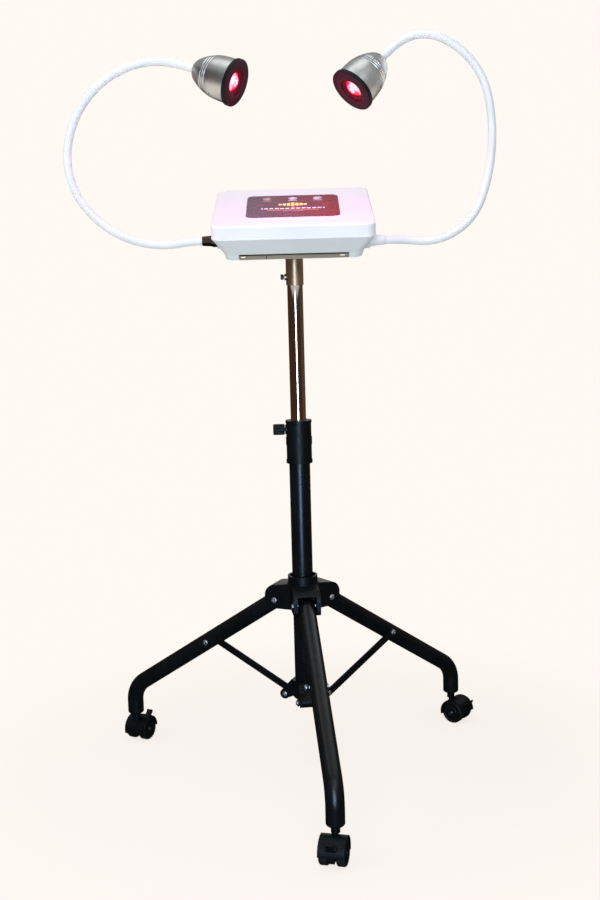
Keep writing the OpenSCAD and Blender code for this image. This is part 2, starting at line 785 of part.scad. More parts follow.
// One rigid stretch of a neck: a ball at its far end, a socket for the ball before it
module neck_part(side, n) color("#eef0f2") at_neck(side) {
    steps = neck_steps(side);
    from = n == 0 ? 0 : joint_at[n - 1];
    difference() {
        union() {
            neck_walk(steps, 0, from, joint_at[n]);
            neck_frame(steps, 0, joint_at[n]) sphere(d = neck_d + 2 * bend_thin);
            if (n == 0) translate([0, 0, -spigot_l]) cylinder(d = spigot_d, h = spigot_l + over);
        }
        if (n > 0) neck_frame(steps, 0, from) sphere(d = neck_d + 2 * socket_gap);
    }
}

module at_lamp(side) {
    at_neck(side) neck_frame(neck_steps(side), 0, joint_at[2]) children();
}

module lamp_shell(side) color("#b9b7b2") at_lamp(side) difference() {
    translate([0, 0, lamp_back]) rotate_extrude() difference() {
        polygon([[0, 0], for (p = bell) [p[1], p[0]], [0, shell_l]]);
        polygon([[0, bell_floor], for (p = bell) if (p[0] > bell_floor) [p[1] - bell_wall, p[0]],
                 [bell[len(bell) - 1][1] - bell_wall, shell_l + over], [0, shell_l + over]]);
        for (p = groove_at) translate(p) circle(d = groove_d);
    }
    sphere(d = neck_d + 2 * socket_gap);
    translate([0, 0, -over]) cylinder(d = neck_d + 4 * air, h = lamp_back + 3 * over);
    rotate([0, 0, set_screw_turn[side < 0 ? 0 : 1]]) translate([0, 0, set_screw_z])
        bar_x(set_screw_d, lens_d, lamp_d / 2);
}

module lamp_ring(side) color("#1d1318") at_lamp(side) translate([0, 0, lamp_back + shell_l + snug])
    difference() {
        union() {
            cylinder(d = lamp_d, h = lamp_l - shell_l);
            translate([0, 0, -ring_spigot_l]) cylinder(d = ring_spigot_d, h = ring_spigot_l + snug);
        }
        translate([0, 0, lamp_l - shell_l - ring_recess_t])
            cylinder(d = ring_recess_d, h = ring_recess_t + over);
        translate([0, 0, -ring_spigot_l - over]) {
            cylinder(d = lens_d + air, h = 2 * ring_spigot_l + 2 * over);
            cylinder(d = ring_spigot_d - 2 * ring_recess_t, h = ring_spigot_l - over);
        }
    }

module lamp_lens(side) color("#ff4f8b") at_lamp(side) translate([0, 0, lamp_back + lamp_l - 11]) {
    cylinder(d = lens_d, h = lens_t);
    translate([0, 0, lens_t - lens_dome_r]) intersection() {
        sphere(r = sqrt(lens_dome_r * lens_dome_r + lens_d * lens_d / 4));
        translate([0, 0, lens_dome_r - over]) cylinder(d = lens_d, h = lens_dome_r);
    }
}

module led_board(side) color("#d9d9d4") at_lamp(side) translate([0, 0, lamp_back + set_screw_z]) {
    cylinder(d = led_plate_d, h = led_plate_t);
    translate([0, 0, -fin[0]]) cylinder(d = 2 * fin[0], h = fin[0] + snug);
    translate([0, 0, led_plate_t - snug]) cylinder(d = led_d, h = 3);
    for (a = [0:45:315]) rotate([0, 0, a]) translate([fin[0] - over, -fin[1] / 2, -fin[2]])
        cube([fin[0], fin[1], fin[2] + snug]);
}

module hood_shell() {
    translate([trail, 0, axle_z]) rotate([90, 0, 0]) rotate_extrude(angle = hood_turn)
        translate([hood_in, -hood_w / 2]) square([hood_out - hood_in, hood_w]);
    intersection() {
        translate([trail, 0, axle_z]) bar_y(2 * hood_out - 1, -web_w / 2, web_w / 2);
        translate([trail - wheel_d, -web_w / 2 - over, hood_low])
            cube([2 * wheel_d, web_w + 2 * over, 2 * wheel_d]);
    }
    translate([0, 0, axle_z + hood_foot]) cylinder(d = web_w - 2 * over, h = hood_out - hood_foot);
}

// Local frame of the brake lever's pivot on a caster
module at_lever() {
    translate([trail + lever_r * cos(lever_turn), 0, axle_z + lever_r * sin(lever_turn)]) children();
}

module caster_hood(k) color("#111214") at_caster(k) {
    difference() {
        union() {
            difference() {
                hood_shell();
                at_lever() {
                    bar_y(lever_hub_d + lever_t, -lever_w / 2 - air, lever_w / 2 + air);
                    rotate([0, lever_tilt, 0]) translate([-lever_hub_d / 2 - air, -lever_w / 2 - air, 0])
                        cube([lever_hub_d + 2 * air, lever_w + 2 * air, wheel_d / 2]);
                }
            }
            at_lever() for (side = [-1, 1]) translate([0, side * (lever_w / 2 + air + lever_cheek), 0])
                bar_y(lever_hub_d + 2 * air, -lever_cheek, lever_cheek);
        }
        translate([trail, 0, axle_z]) bar_y(axle_d + 2 * run_gap, -web_w, web_w);
        at_lever() bar_y(lever_pin_d + 2 * run_gap, -lever_w, lever_w);
    }
    translate([0, 0, axle_z + hood_out - over]) {
        cylinder(d = stem_collar_d, h = leg_end_z - axle_z - hood_out + over - air);
        cylinder(d = stem_d, h = leg_end_z - axle_z - hood_out + stem_in);
    }
}

module wheel_profile() {
    r = wheel_d / 2;
    e = wheel_edge_r;
    difference() {
        union() {
            square([r - e, wheel_w]);
            translate([0, e]) square([r, wheel_w - 2 * e]);
            for (y = [e, wheel_w - e]) translate([r - e, y]) circle(r = e);
        }
        translate([r - wheel_groove_in, wheel_w - wheel_groove[1]]) square([wheel_groove[0], over]);
        square([axle_d - 2 * over, 3 * wheel_w], center = true);
    }
}

module caster_wheels(k) color("#1a1b1d") at_caster(k) translate([trail, 0, axle_z]) {
    for (side = [0, 1]) mirror([0, side, 0]) translate([0, web_w / 2 + hub_gap, 0])
        rotate([-90, 0, 0]) rotate_extrude() wheel_profile();
    bar_y(axle_d - 2 * snug, -hood_w / 2 + over, hood_w / 2 - over);
}

module caster_brake(k) color("#161719") at_caster(k) at_lever() {
    bar_y(lever_hub_d, -lever_w / 2, lever_w / 2);
    bar_y(lever_pin_d, -lever_w / 2 - 2 * lever_cheek, lever_w / 2 + 2 * lever_cheek);
    rotate([0, lever_tilt, 0]) translate([-lever_t / 2, -lever_w / 2, 0]) {
        cube([lever_t, lever_w, lever_l]);
        translate([0, 0, lever_l - lever_t]) rotate([0, -lever_bend, 0]) cube([lever_t, lever_w, lever_tip]);
    }
}

outer_tube();
clamp_collar();
tube_bush();
lower_collar();
collar_pins();
leg_hub();
hub_pins();
leg_tube(0);  // leg_tube_front
leg_tube(1);  // leg_tube_right
leg_tube(2);  // leg_tube_left
leg_plug(0);  // leg_plug_front
leg_plug(1);  // leg_plug_right
leg_plug(2);  // leg_plug_left
brace_pin(0);  // brace_pin_front
brace_pin(1);  // brace_pin_right
brace_pin(2);  // brace_pin_left
brace(0);  // brace_front
brace(1);  // brace_right
brace(2);  // brace_left
caster_hood(0);  // caster_hood_front
caster_hood(1);  // caster_hood_right
caster_hood(2);  // caster_hood_left
caster_wheels(0);  // caster_wheels_front
caster_wheels(1);  // caster_wheels_right
caster_wheels(2);  // caster_wheels_left
caster_brake(0);  // caster_brake_front
caster_brake(1);  // caster_brake_right
caster_brake(2);  // caster_brake_left
pressure_pad();
clamp_knob();
chrome_post();
post_end_bush();
mount_bracket();
bracket_screw();
plate_screws();
box_lid();
box_tray();
case_screws();
circuit_board();
power_supply();
power_inlet();
control_panel();
key(0);  // key_left
key(1);  // key_middle
key(2);  // key_right
neck_glands();
neck_part(-1, 0);  // neck_left_lower
neck_part(-1, 1);  // neck_left_middle
neck_part(-1, 2);  // neck_left_upper
neck_part(1, 0);  // neck_right_lower
neck_part(1, 1);  // neck_right_middle
neck_part(1, 2);  // neck_right_upper
lamp_shell(-1);  // lamp_shell_left
lamp_ring(-1);  // lamp_ring_left
lamp_lens(-1);  // lamp_lens_left
led_board(-1);  // led_board_left
lamp_shell(1);  // lamp_shell_right
lamp_ring(1);  // lamp_ring_right
lamp_lens(1);  // lamp_lens_right
led_board(1);  // led_board_right
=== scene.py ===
import json
from math import atan2, copysign, cos, pi, radians, sin, sqrt, tan, tau

import bmesh
import bpy
from mathutils import Matrix, Vector


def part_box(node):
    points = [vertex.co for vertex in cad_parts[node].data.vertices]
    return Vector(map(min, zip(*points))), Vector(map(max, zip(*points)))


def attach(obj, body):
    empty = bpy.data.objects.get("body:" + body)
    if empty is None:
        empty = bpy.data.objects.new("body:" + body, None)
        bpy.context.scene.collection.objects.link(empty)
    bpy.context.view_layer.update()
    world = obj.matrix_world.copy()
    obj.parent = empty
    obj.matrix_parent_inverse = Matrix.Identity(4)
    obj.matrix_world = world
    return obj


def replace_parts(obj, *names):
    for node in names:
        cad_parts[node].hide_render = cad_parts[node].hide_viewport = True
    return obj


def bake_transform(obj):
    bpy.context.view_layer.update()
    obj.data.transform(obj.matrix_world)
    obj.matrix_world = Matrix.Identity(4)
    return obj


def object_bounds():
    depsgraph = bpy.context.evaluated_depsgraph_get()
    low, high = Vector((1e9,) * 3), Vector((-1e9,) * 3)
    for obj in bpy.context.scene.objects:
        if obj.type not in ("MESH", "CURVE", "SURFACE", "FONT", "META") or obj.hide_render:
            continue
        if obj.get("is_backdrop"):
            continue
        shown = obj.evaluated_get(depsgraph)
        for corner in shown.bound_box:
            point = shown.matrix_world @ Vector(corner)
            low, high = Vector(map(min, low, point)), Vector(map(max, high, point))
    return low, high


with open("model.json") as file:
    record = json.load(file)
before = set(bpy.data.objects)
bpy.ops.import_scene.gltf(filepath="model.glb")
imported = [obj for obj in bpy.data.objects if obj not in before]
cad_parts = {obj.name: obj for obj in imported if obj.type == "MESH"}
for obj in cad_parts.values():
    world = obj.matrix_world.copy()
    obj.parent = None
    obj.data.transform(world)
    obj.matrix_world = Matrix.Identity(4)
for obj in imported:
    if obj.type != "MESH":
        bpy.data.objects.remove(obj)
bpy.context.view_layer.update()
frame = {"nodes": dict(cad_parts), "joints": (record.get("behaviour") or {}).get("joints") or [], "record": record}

# Lengths below are in millimetres, and MM turns them into metres
MM = 0.001
BODY_OF = {n: b for b, members in frame["record"]["behaviour"]["bodies"].items() for n in members}
JOINTS = {j["name"]: j for j in frame["joints"]}
HARD_CORNER = radians(33)
SIDES = {"left": -1, "right": 1}
LEGS = ("front", "right", "left")


# Shader and geometry trees

def socket_of(node, name):
    """The input of that identifier, or else the first shown one of that name, with _ for a space."""
    for socket in node.inputs:
        if socket.identifier == name:
            return socket
    name = name.replace("_", " ")
    return next(s for s in node.inputs if s.enabled and s.name == name)


def add_node(tree, kind, *values, output=0, **named):
    """Adds a node. Names with a small first letter are its settings, and the rest feeds its sockets."""
    node = tree.nodes.new(kind)
    for name, value in named.items():
        if name == "stops":
            ramp = node.color_ramp
            while len(ramp.elements) < len(value):
                ramp.elements.new(0.5)
            for element, (place, colour) in zip(ramp.elements, value):
                element.position = place
                element.color = (*colour, 1)
        elif name[0].islower():
            setattr(node, name, value)
    sockets = list(zip(node.inputs, values))
    sockets += [(socket_of(node, name), value) for name, value in named.items() if name[0].isupper()]
    for socket, value in sockets:
        if isinstance(value, Flow):
            value.into(socket)
        else:
            socket.default_value = value
    return Flow(tree, node.outputs[output])


class Flow:
    """A socket of a tree that takes part in sums like a number."""

    def __init__(self, tree, socket):
        self.tree = tree
        self.socket = socket

    def into(self, socket):
        self.tree.links.new(self.socket, socket)

    def maths(self, operation, *values, clamp=False):
        return add_node(self.tree, "ShaderNodeMath", *values, operation=operation, use_clamp=clamp)

    def shaped(self, operation):
        return self.maths(operation, self)

    def at_least(self, other):
        return self.maths("MAXIMUM", self, other)

    def step(self, start, end):
        """0 before start and 1 after end, with an even rise between; start may be the larger one."""
        return self.maths("DIVIDE", self - start, end - start, clamp=True)


for sign, operation in (("add", "ADD"), ("sub", "SUBTRACT"), ("mul", "MULTIPLY"), ("truediv", "DIVIDE")):
    setattr(Flow, f"__{sign}__", lambda a, b, operation=operation: a.maths(operation, a, b))
    setattr(Flow, f"__r{sign}__", lambda a, b, operation=operation: a.maths(operation, b, a))


class Finish:
    """A material of one Principled shader and the textures that feed it."""

    def __init__(self, name, **fixed):
        self.material = bpy.data.materials.new(name)
        self.material.use_nodes = True
        self.tree = self.material.node_tree
        self.shader = self.tree.nodes["Principled BSDF"]
        for socket, value in fixed.items():
            self.shader.inputs[socket.replace("_", " ")].default_value = value
        self.place = self.node("TexCoord", output="Object")

    def node(self, kind, *values, **named):
        return add_node(self.tree, "ShaderNode" + kind, *values, **named)

    def noise(self, grain, detail=2, rough=0.5, stretch=(1, 1, 1)):
        """Soft noise around 0.5; grain is the size of its blobs, and stretch draws them out."""
        scale = [1 / (grain * MM * s) for s in stretch]
        spread = self.node("Mapping", Vector=self.place, Scale=scale)
        return self.node("TexNoise", Vector=spread, Scale=1.0, Detail=detail, Roughness=rough)

    def lines(self, measure, grain):
        """Noise that changes along one measure only, as the marks of a lathe tool do."""
        return self.node("TexNoise", noise_dimensions="1D", W=measure, Scale=1 / (grain * MM), Detail=2.0)

    def cells(self, grain, feature="F1", output="Distance", random=1.0):
        return self.node("TexVoronoi", feature=feature, Vector=self.place, Scale=1 / (grain * MM),
                         Randomness=random, output=output)

    def vectors(self, operation, *values, output=0):
        return self.node("VectorMath", *values, operation=operation, output=output)

    def along(self, origin, way):
        """Distance in metres from a point, measured along a direction."""
        gap = self.vectors("SUBTRACT", self.place, tuple(origin))
        return self.vectors("DOT_PRODUCT", gap, tuple(way), output="Value")

    def from_axis(self, origin, way):
        """Distance in metres from a line."""
        gap = self.vectors("SUBTRACT", self.place, tuple(origin))
        return self.vectors("LENGTH", self.vectors("CROSS_PRODUCT", gap, tuple(way)), output="Value")

    def blend(self, mask, under, over):
        """Colour 'under' where the mask is 0 and 'over' where it is 1."""
        under, over = (tone if isinstance(tone, Flow) else (*tone, 1) for tone in (under, over))
        return self.node("Mix", data_type="RGBA", Factor_Float=mask, A_Color=under, B_Color=over, output=2)

    def feed(self, socket, flow):
        flow.into(self.shader.inputs[socket])

    def fed(self, socket):
        return Flow(self.tree, self.shader.inputs[socket].links[0].from_socket)

    def colour(self, mask, under, over):
        self.feed("Base Color", self.blend(mask, under, over))

    def rough(self, flow):
        self.feed("Roughness", flow)

    def bump(self, height, depth, strength=1.0):
        """Adds relief of a given depth in millimetres, and returns the finish."""
        sockets = {"Height": height, "Distance": depth * MM, "Strength": strength}
        if self.shader.inputs["Normal"].is_linked:
            sockets["Normal"] = self.fed("Normal")
        self.feed("Normal", self.node("Bump", **sockets))
        return self


class Recipe:
    """A Geometry Nodes tree with named inputs, run on an object and kept as a plain mesh."""

    def __init__(self, name, **inputs):
        self.tree = bpy.data.node_groups.new(name, "GeometryNodeTree")
        sockets = [("Geometry", "Geometry"), *inputs.items(), ("Finish", "Material")]
        for way, label, kind in [("OUTPUT", *sockets[0])] + [("INPUT", *socket) for socket in sockets]:
            self.tree.interface.new_socket(label, in_out=way, socket_type="NodeSocket" + kind)
        self.group = self.tree.nodes.new("NodeGroupInput")

    def node(self, kind, **named):
        return add_node(self.tree, "GeometryNode" + kind, **named)

    def given(self, label):
        return Flow(self.tree, self.group.outputs[label])

    def close(self, geometry):
        real = self.node("RealizeInstances", Geometry=geometry)
        done = self.node("SetMaterial", Geometry=real, Material=self.given("Finish"))
        done.into(self.tree.nodes.new("NodeGroupOutput").inputs[0])

    def run(self, name, data, finish, **values):
        """The recipe's result on a curve or mesh, as a new object with a plain mesh."""
        source = linked(name + "_source", data)
        modifier = source.modifiers.new("recipe", "NODES")
        modifier.node_group = self.tree
        values["Finish"] = finish.material
        for item in self.tree.interface.items_tree:
            if item.in_out == "INPUT" and item.name in values:
                modifier[item.identifier] = values[item.name]
        mesh = settled(source)
        bpy.data.objects.remove(source)
        return show(name, mesh, finish)


# Meshes

def linked(name, data):
    thing = bpy.data.objects.new(name, data)
    bpy.context.scene.collection.objects.link(thing)
    return thing


def show(name, mesh, finish=None):
    mesh.name = name
    if finish:
        mesh.materials.clear()
        mesh.materials.append(finish.material)
    return linked(name, mesh)


def opened(mesh):
    bm = bmesh.new()
    bm.from_mesh(mesh)
    return bm


def closed(bm, mesh):
    """The mesh, or a new one of that name, with what the bmesh holds."""
    if isinstance(mesh, str):
        mesh = bpy.data.meshes.new(mesh)
    bm.to_mesh(mesh)
    bm.free()
    return mesh


def hardened(bm):
    """Turns every face outwards, and smooths all but the hard corners."""
    bmesh.ops.recalc_face_normals(bm, faces=bm.faces)
    for face in bm.faces:
        face.smooth = True
    for edge in bm.edges:
        if len(edge.link_faces) == 2 and edge.calc_face_angle() > HARD_CORNER:
            edge.smooth = False


def settled(source):
    """The object's shape with its modifiers, as a plain mesh."""
    bpy.context.view_layer.update()
    graph = bpy.context.evaluated_depsgraph_get()
    return bpy.data.meshes.new_from_object(source.evaluated_get(graph), depsgraph=graph)


def applied(piece):
    mesh = settled(piece)
    piece.modifiers.clear()
    piece.data = mesh
    return piece


def mesh_from(bm, name, finish):
    bmesh.ops.remove_doubles(bm, verts=bm.verts, dist=1e-6)
    hardened(bm)
    return show(name, closed(bm, name), finish)


def evened(piece):
    """Normals weighted by face size, so that flats stay flat beside rounded edges."""
    piece.modifiers.new("normals", "WEIGHTED_NORMAL").keep_sharp = True
    return applied(piece)


def softened(node, finish, edge, segments=3):
    """A copy of a CAD node with its sharp edges rounded, which stands for it."""
    bm = opened(frame["nodes"][node].data)
    bmesh.ops.remove_doubles(bm, verts=bm.verts, dist=2e-6)
    bmesh.ops.dissolve_limit(
        bm, angle_limit=radians(0.6), verts=bm.verts, edges=bm.edges, use_dissolve_boundaries=False)
    for face in bm.faces:
        face.smooth = True
    piece = show(node + "_finished", closed(bm, node), finish)
    bevel = piece.modifiers.new("edges", "BEVEL")
    bevel.width = edge * MM
    bevel.segments = segments
    bevel.limit_method = "ANGLE"
    bevel.angle_limit = radians(40)
    bevel.miter_outer = "MITER_ARC"
    return stands_for(evened(piece), node)


def stands_for(piece, node):
    """The piece takes the place and the body of a CAD node."""
    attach(piece, BODY_OF[node])
    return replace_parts(piece, node)


def lathe(name, outline, finish, spot=Matrix(), sides=96):
    """A closed outline of (radius, height) in millimetres, turned about the Z axis of a spot."""
    bm = bmesh.new()
    rings = []
    for radius, height in outline:
        ring = [bm.verts.new(spot @ Vector((
            radius * MM * cos(tau * i / sides), radius * MM * sin(tau * i / sides), height * MM)))
            for i in range(sides if radius else 1)]
        rings.append(ring if radius else ring * sides)
    for low, high in zip(rings, rings[1:] + rings[:1]):
        for i in range(sides):
            j = (i + 1) % sides
            corners = list(dict.fromkeys((low[i], low[j], high[j], high[i])))
            if len(corners) > 2:
                bm.faces.new(corners)
    return mesh_from(bm, name, finish)


def turned(node, *shape, **more):
    return stands_for(lathe(node + "_finished", *shape, **more), node)


def eased(outline, steps=4):
    """An outline whose corners (radius, height, rounding) are turned into small arcs."""
    points = []
    for i, corner in enumerate(outline):
        here = Vector(corner[:2])
        rounding = corner[2] if len(corner) > 2 else 0
        if not rounding:
            points.append(tuple(here))
            continue
        before = Vector(outline[i - 1][:2])
        after = Vector(outline[(i + 1) % len(outline)][:2])
        reach = min(rounding, (before - here).length * 0.49, (after - here).length * 0.49)
        start = here + (before - here).normalized() * reach
        end = here + (after - here).normalized() * reach
        for s in range(steps + 1):
            t = s / steps
            points.append(tuple(start * (1 - t) ** 2 + here * 2 * t * (1 - t) + end * t * t))
    return points


def smooth_line(points):
    """A smooth curve through points."""
    line = []
    for i in range(len(points) - 1):
        p0 = Vector(points[max(i - 1, 0)])
        p1 = Vector(points[i])
        p2 = Vector(points[i + 1])
        p3 = Vector(points[min(i + 2, len(points) - 1)])
        for s in range(8):
            t = s / 8
            line.append(tuple(0.5 * (
                2 * p1 + (p2 - p0) * t + (2 * p0 - 5 * p1 + 4 * p2 - p3) * t * t
                + (3 * p1 - p0 - 3 * p2 + p3) * t ** 3)))
    return line + [tuple(points[-1])]


def rounded_ring(width, depth, radius, height):
    """Points of a flat rectangle with round corners, in millimetres."""
    points = []
    for corner, (across, along) in enumerate(((1, 1), (-1, 1), (-1, -1), (1, -1))):
        u, v = across * (width / 2 - radius), along * (depth / 2 - radius)
        for i in range(13):
            turn = radians(90 * (corner + i / 12))
            points.append((u + radius * cos(turn), v + radius * sin(turn), height))
    return points


def lofted(name, rings, finish, spot=Matrix()):
    """A closed skin over rings of equally many points."""
    bm = bmesh.new()
    made = [[bm.verts.new(spot @ (Vector(p) * MM)) for p in ring] for ring in rings]
    for low, high in zip(made, made[1:]):
        for i, corner in enumerate(low):
            j = (i + 1) % len(low)
            bm.faces.new((corner, low[j], high[j], high[i]))
    bm.faces.new(made[0][::-1])
    bm.faces.new(made[-1])
    return mesh_from(bm, name, finish)


def axes_at(origin, z_way, x_way=None):
    """A place whose Z runs along a direction, and X near another one."""
    z = Vector(z_way).normalized()
    x = Vector(x_way) if x_way else z.orthogonal()
    x = (x - z * x.dot(z)).normalized()
    turn = Matrix((x, z.cross(x), z)).transposed().to_4x4()
    return Matrix.Translation(origin) @ turn


# Finishes

def powder_black():
    coat = Finish("black powder coat", Roughness=0.28, Specular_IOR_Level=0.44)
    pebble = coat.noise(0.55, 3, 0.6)
    cloud = coat.noise(60, 3)
    tone = coat.blend(cloud.step(0.35, 0.7), (0.0018, 0.0030, 0.0042), (0.0034, 0.0050, 0.0066))
    specks = coat.cells(3.1).step(0.16, 0.1) * coat.noise(9).step(0.55, 0.62)
    coat.colour(specks * 0.5, tone, (0.02, 0.024, 0.028))
    coat.rough(0.21 + 0.12 * cloud + 0.1 * specks)
    coat.bump(pebble, 0.06)
    return coat.bump(coat.noise(4, 2), 0.05, 0.5)


def scraped_black(origin):
    """Powder coat of the outer tube, with the fine upright marks of the hub that rides on it."""
    coat = powder_black()
    coat.material.name = "black tube coat"
    height = coat.along(origin, (0, 0, 1))
    scratch = coat.noise(0.5, 2, 0.6, stretch=(1, 1, 90)).step(0.66, 0.72)
    band = height.step(0.04, 0.1) * height.step(0.32, 0.16)
    coat.colour(scratch * band * 0.7, coat.fed("Base Color"), (0.026, 0.03, 0.034))
    coat.rough(coat.fed("Roughness") - 0.12 * scratch * band)
    return coat


def moulded_black(name="black nylon", tone=(0.0020, 0.0030, 0.0040), rough=0.36, grain=0.45):
    coat = Finish(name, Roughness=rough, Specular_IOR_Level=0.24)
    cloud = coat.noise(35, 3)
    dust = coat.noise(6, 4, 0.65).step(0.52, 0.78)
    lighter = tuple(c * 1.9 + 0.0015 for c in tone)
    coat.colour(dust * 0.35 + 0.25 * cloud, tone, lighter)
    coat.rough(rough - 0.08 + 0.18 * cloud + 0.08 * dust)
    coat.bump(coat.cells(grain, feature="SMOOTH_F1"), 0.035)
    return coat.bump(coat.noise(14, 2), 0.12, 0.35)


def wheel_black(centre, way):
    coat = moulded_black("caster wheel nylon", (0.0026, 0.0032, 0.004), 0.42, 0.6)
    tread = coat.from_axis(centre, way).step(18.2 * MM, 19.4 * MM)
    scuff = tread * coat.noise(2.2, 4, 0.7).step(0.36, 0.7)
    coat.colour(scuff * 0.6, coat.fed("Base Color"), (0.03, 0.029, 0.028))
    coat.rough(coat.fed("Roughness") + 0.3 * scuff)
    return coat


def chrome():
    coat = Finish("polished chrome", Metallic=1.0, Roughness=0.07)
    haze = coat.noise(28, 3, stretch=(1, 1, 6))
    hair = coat.noise(0.35, 2, 0.6, stretch=(1, 1, 160))
    prints = coat.noise(16, 4, 0.6).step(0.56, 0.68)
    coat.colour(haze, (0.80, 0.79, 0.775), (0.88, 0.87, 0.86))
    coat.rough(0.045 + 0.05 * haze + 0.05 * prints + 0.04 * hair.step(0.6, 0.7))
    return coat.bump(hair, 0.0012, 0.4)


def bright_zinc(name="bright zinc", tone=(0.84, 0.85, 0.86)):
    coat = Finish(name, Metallic=1.0, Roughness=0.25)
    cloud = coat.noise(2.4, 3)
    darker = tuple(c * 0.72 for c in tone)
    coat.colour(cloud.step(0.3, 0.75), darker, tone)
    coat.rough(0.34 + 0.26 * coat.noise(1.1, 3))
    return coat.bump(coat.noise(0.3, 2), 0.015, 0.6)


def brushed_bracket():
    """Stainless sheet brushed from side to side. Its warm brown tint and its darker, browner front flange are a
    painted reflection, and the dark band along its top under the tray is a painted shadow.
    """
    coat = Finish("brushed stainless", Metallic=1.0, Roughness=0.3)
    lines = coat.noise(0.22, 3, 0.65, stretch=(120, 1, 1))
    haze = coat.noise(30, 2)
    # Painted shadow: a dark band along the top of the sheet, in the gap under the tray
    under = coat.along(BOX_ORIGIN, BOX_W).step(-51.4 * MM, -50.8 * MM)
    # Painted reflection: the warm brown tint of the metal
    metal = coat.blend(lines.step(0.3, 0.7), (0.52, 0.36, 0.23), (0.66, 0.48, 0.33))
    # Painted reflection: the front flange is darker and browner than the rest
    flange = coat.along(BOX_ORIGIN, BOX_V).step(-90 * MM, -93 * MM)
    metal = coat.blend(flange * 0.85, metal, (0.38, 0.22, 0.11))
    coat.colour(under, metal, (0.03, 0.022, 0.016))
    coat.rough(0.24 + 0.1 * haze + 0.1 * lines + 0.3 * under)
    return coat.bump(lines, 0.004)


def turned_aluminium(origin, way, polished, screw, screw_way):
    """Aluminium with the fine rings of a lathe tool, polished grooves with painted shade along their front edges,
    and the hole of a set screw painted on as a black disc of shade.
    """
    coat = Finish("turned aluminium", Metallic=1.0, Roughness=0.4)
    height = coat.along(origin, way)
    # Painted shade: the set screw's hole is a black disc in the colour, not cut into the shell
    hole = coat.from_axis(screw, screw_way).step(1.5 * MM, 1.2 * MM) * coat.along(
        screw, screw_way).step(0, 5 * MM)
    rings = coat.lines(height, 0.16)
    wide = coat.lines(height, 1.6)
    cloud = coat.noise(18, 3)
    bright = height.step(-1 * MM, 0) * height.step(2.4 * MM, 2 * MM)
    shadow = height * 0
    for low, high in polished:
        bright = bright.at_least(height.step(low * MM, (low + 0.15) * MM) * height.step(
            high * MM, (high - 0.15) * MM))
        shadow = shadow.at_least(height.step(high * MM, (high + 0.2) * MM) * height.step(
            (high + 1.0) * MM, (high + 0.7) * MM))
    tone = coat.blend(rings * 0.6 + wide * 0.4, (0.64, 0.62, 0.58), (0.80, 0.78, 0.74))
    smudge = coat.blend(cloud.step(0.4, 0.75) * 0.5, tone, (0.47, 0.44, 0.42))
    metal = coat.blend(shadow * 0.8, smudge, (0.08, 0.075, 0.07))
    coat.colour(hole, coat.blend(bright, metal, (0.95, 0.95, 0.94)), (0.004, 0.004, 0.004))
    coat.rough((0.28 + 0.12 * rings + 0.08 * cloud) * (1 - bright) + 0.3 * bright)
    coat.bump(rings * (1 - bright), 0.014)
    return coat.bump(coat.noise(0.5, 2), 0.006, 0.6)


def lamp_face_black(origin, way):
    """Glossy front ring, black at its rim and dark wine elsewhere, with painted red light where the light source
    shines on it: a redder tone towards the bore and a painted red glow beside the bore.
    """
    coat = Finish("wine black ring with painted red glow", Roughness=0.34, Specular_IOR_Level=0.16, Emission_Strength=1.0)
    radius = coat.from_axis(origin, way)
    # Painted light: the face turns redder towards the bore, where the light source shines on it
    glow = radius.step(34 * MM, 15 * MM)
    rings = coat.lines(radius, 0.3)
    cloud = coat.noise(12, 3)
    face = coat.blend(glow, (0.022, 0.006, 0.009), (0.05, 0.003, 0.008))
    rim = radius.step(34.2 * MM, 34.9 * MM)
    face = coat.blend(cloud * 0.5, face, (0.04, 0.010, 0.014))
    coat.colour(rim, face, (0.008, 0.007, 0.009))
    coat.rough(0.26 + 0.14 * rings + 0.08 * cloud)
    # Painted glow: the ring gives off red light near the bore, though it is no lamp
    coat.feed("Emission Color", coat.blend(radius.step(24 * MM, 14.6 * MM) * (1 - rim),
                                               (0, 0, 0), (0.075, 0.001, 0.006)))
    return coat.bump(rings, 0.01)


def red_glow(coat, origin, way, jitter):
    """Facets lit from behind: white in the core, then pink, then red, and nearly black at the edge."""
    radius = coat.from_axis(origin, way)
    grey = coat.node("SeparateColor", Color=coat.cells(2.3, output="Color"))
    uneven = radius + (grey - 0.5) * jitter * MM
    return coat.node("ValToRGB", uneven / (14.8 * MM), stops=[
        (0.0, (1.0, 0.93, 0.99)), (0.30, (1.0, 0.80, 0.93)), (0.42, (1.0, 0.16, 0.42)),
        (0.56, (0.92, 0.004, 0.07)), (0.74, (0.46, 0.0, 0.018)), (0.92, (0.05, 0.0, 0.003)),
        (1.0, (0.01, 0.0, 0.001))])


def lit_reflector(origin, way):
    coat = Finish("lit red reflector", Base_Color=(0.35, 0.01, 0.04, 1), Roughness=0.25,
                    Emission_Strength=1.2)
    coat.feed("Emission Color", red_glow(coat, origin, way, 3.0))
    return coat.bump(coat.cells(2.6), 0.4)


def clear_lens(origin, way):
    """Clear moulded lens, whose small facets carry the red light of the source behind it."""
    coat = Finish("clear moulded lens", Base_Color=(1.0, 0.55, 0.62, 1), Roughness=0.03, IOR=1.35,
                    Transmission_Weight=1.0, Emission_Strength=0.95)
    coat.rough(0.02 + 0.05 * coat.noise(5, 3).step(0.5, 0.75))
    coat.feed("Emission Color", red_glow(coat, origin + Vector((0, 0, 2.0 * MM)), way, 6.5))
    return coat.bump(coat.noise(7, 1), 0.03, 0.4)


def box_plastic(name, tone, shade, rough):
    coat = Finish(name, Roughness=rough, Subsurface_Weight=0.04, Subsurface_Scale=0.004)
    cloud = coat.noise(70, 3)
    marks = coat.noise(9, 4, 0.6).step(0.6, 0.75)
    coat.colour(cloud.step(0.3, 0.75) * 0.8 + marks * 0.2, tone, shade)
    coat.rough(rough + 0.09 * cloud + 0.07 * marks)
    return coat.bump(coat.cells(0.5, feature="SMOOTH_F1"), 0.03)


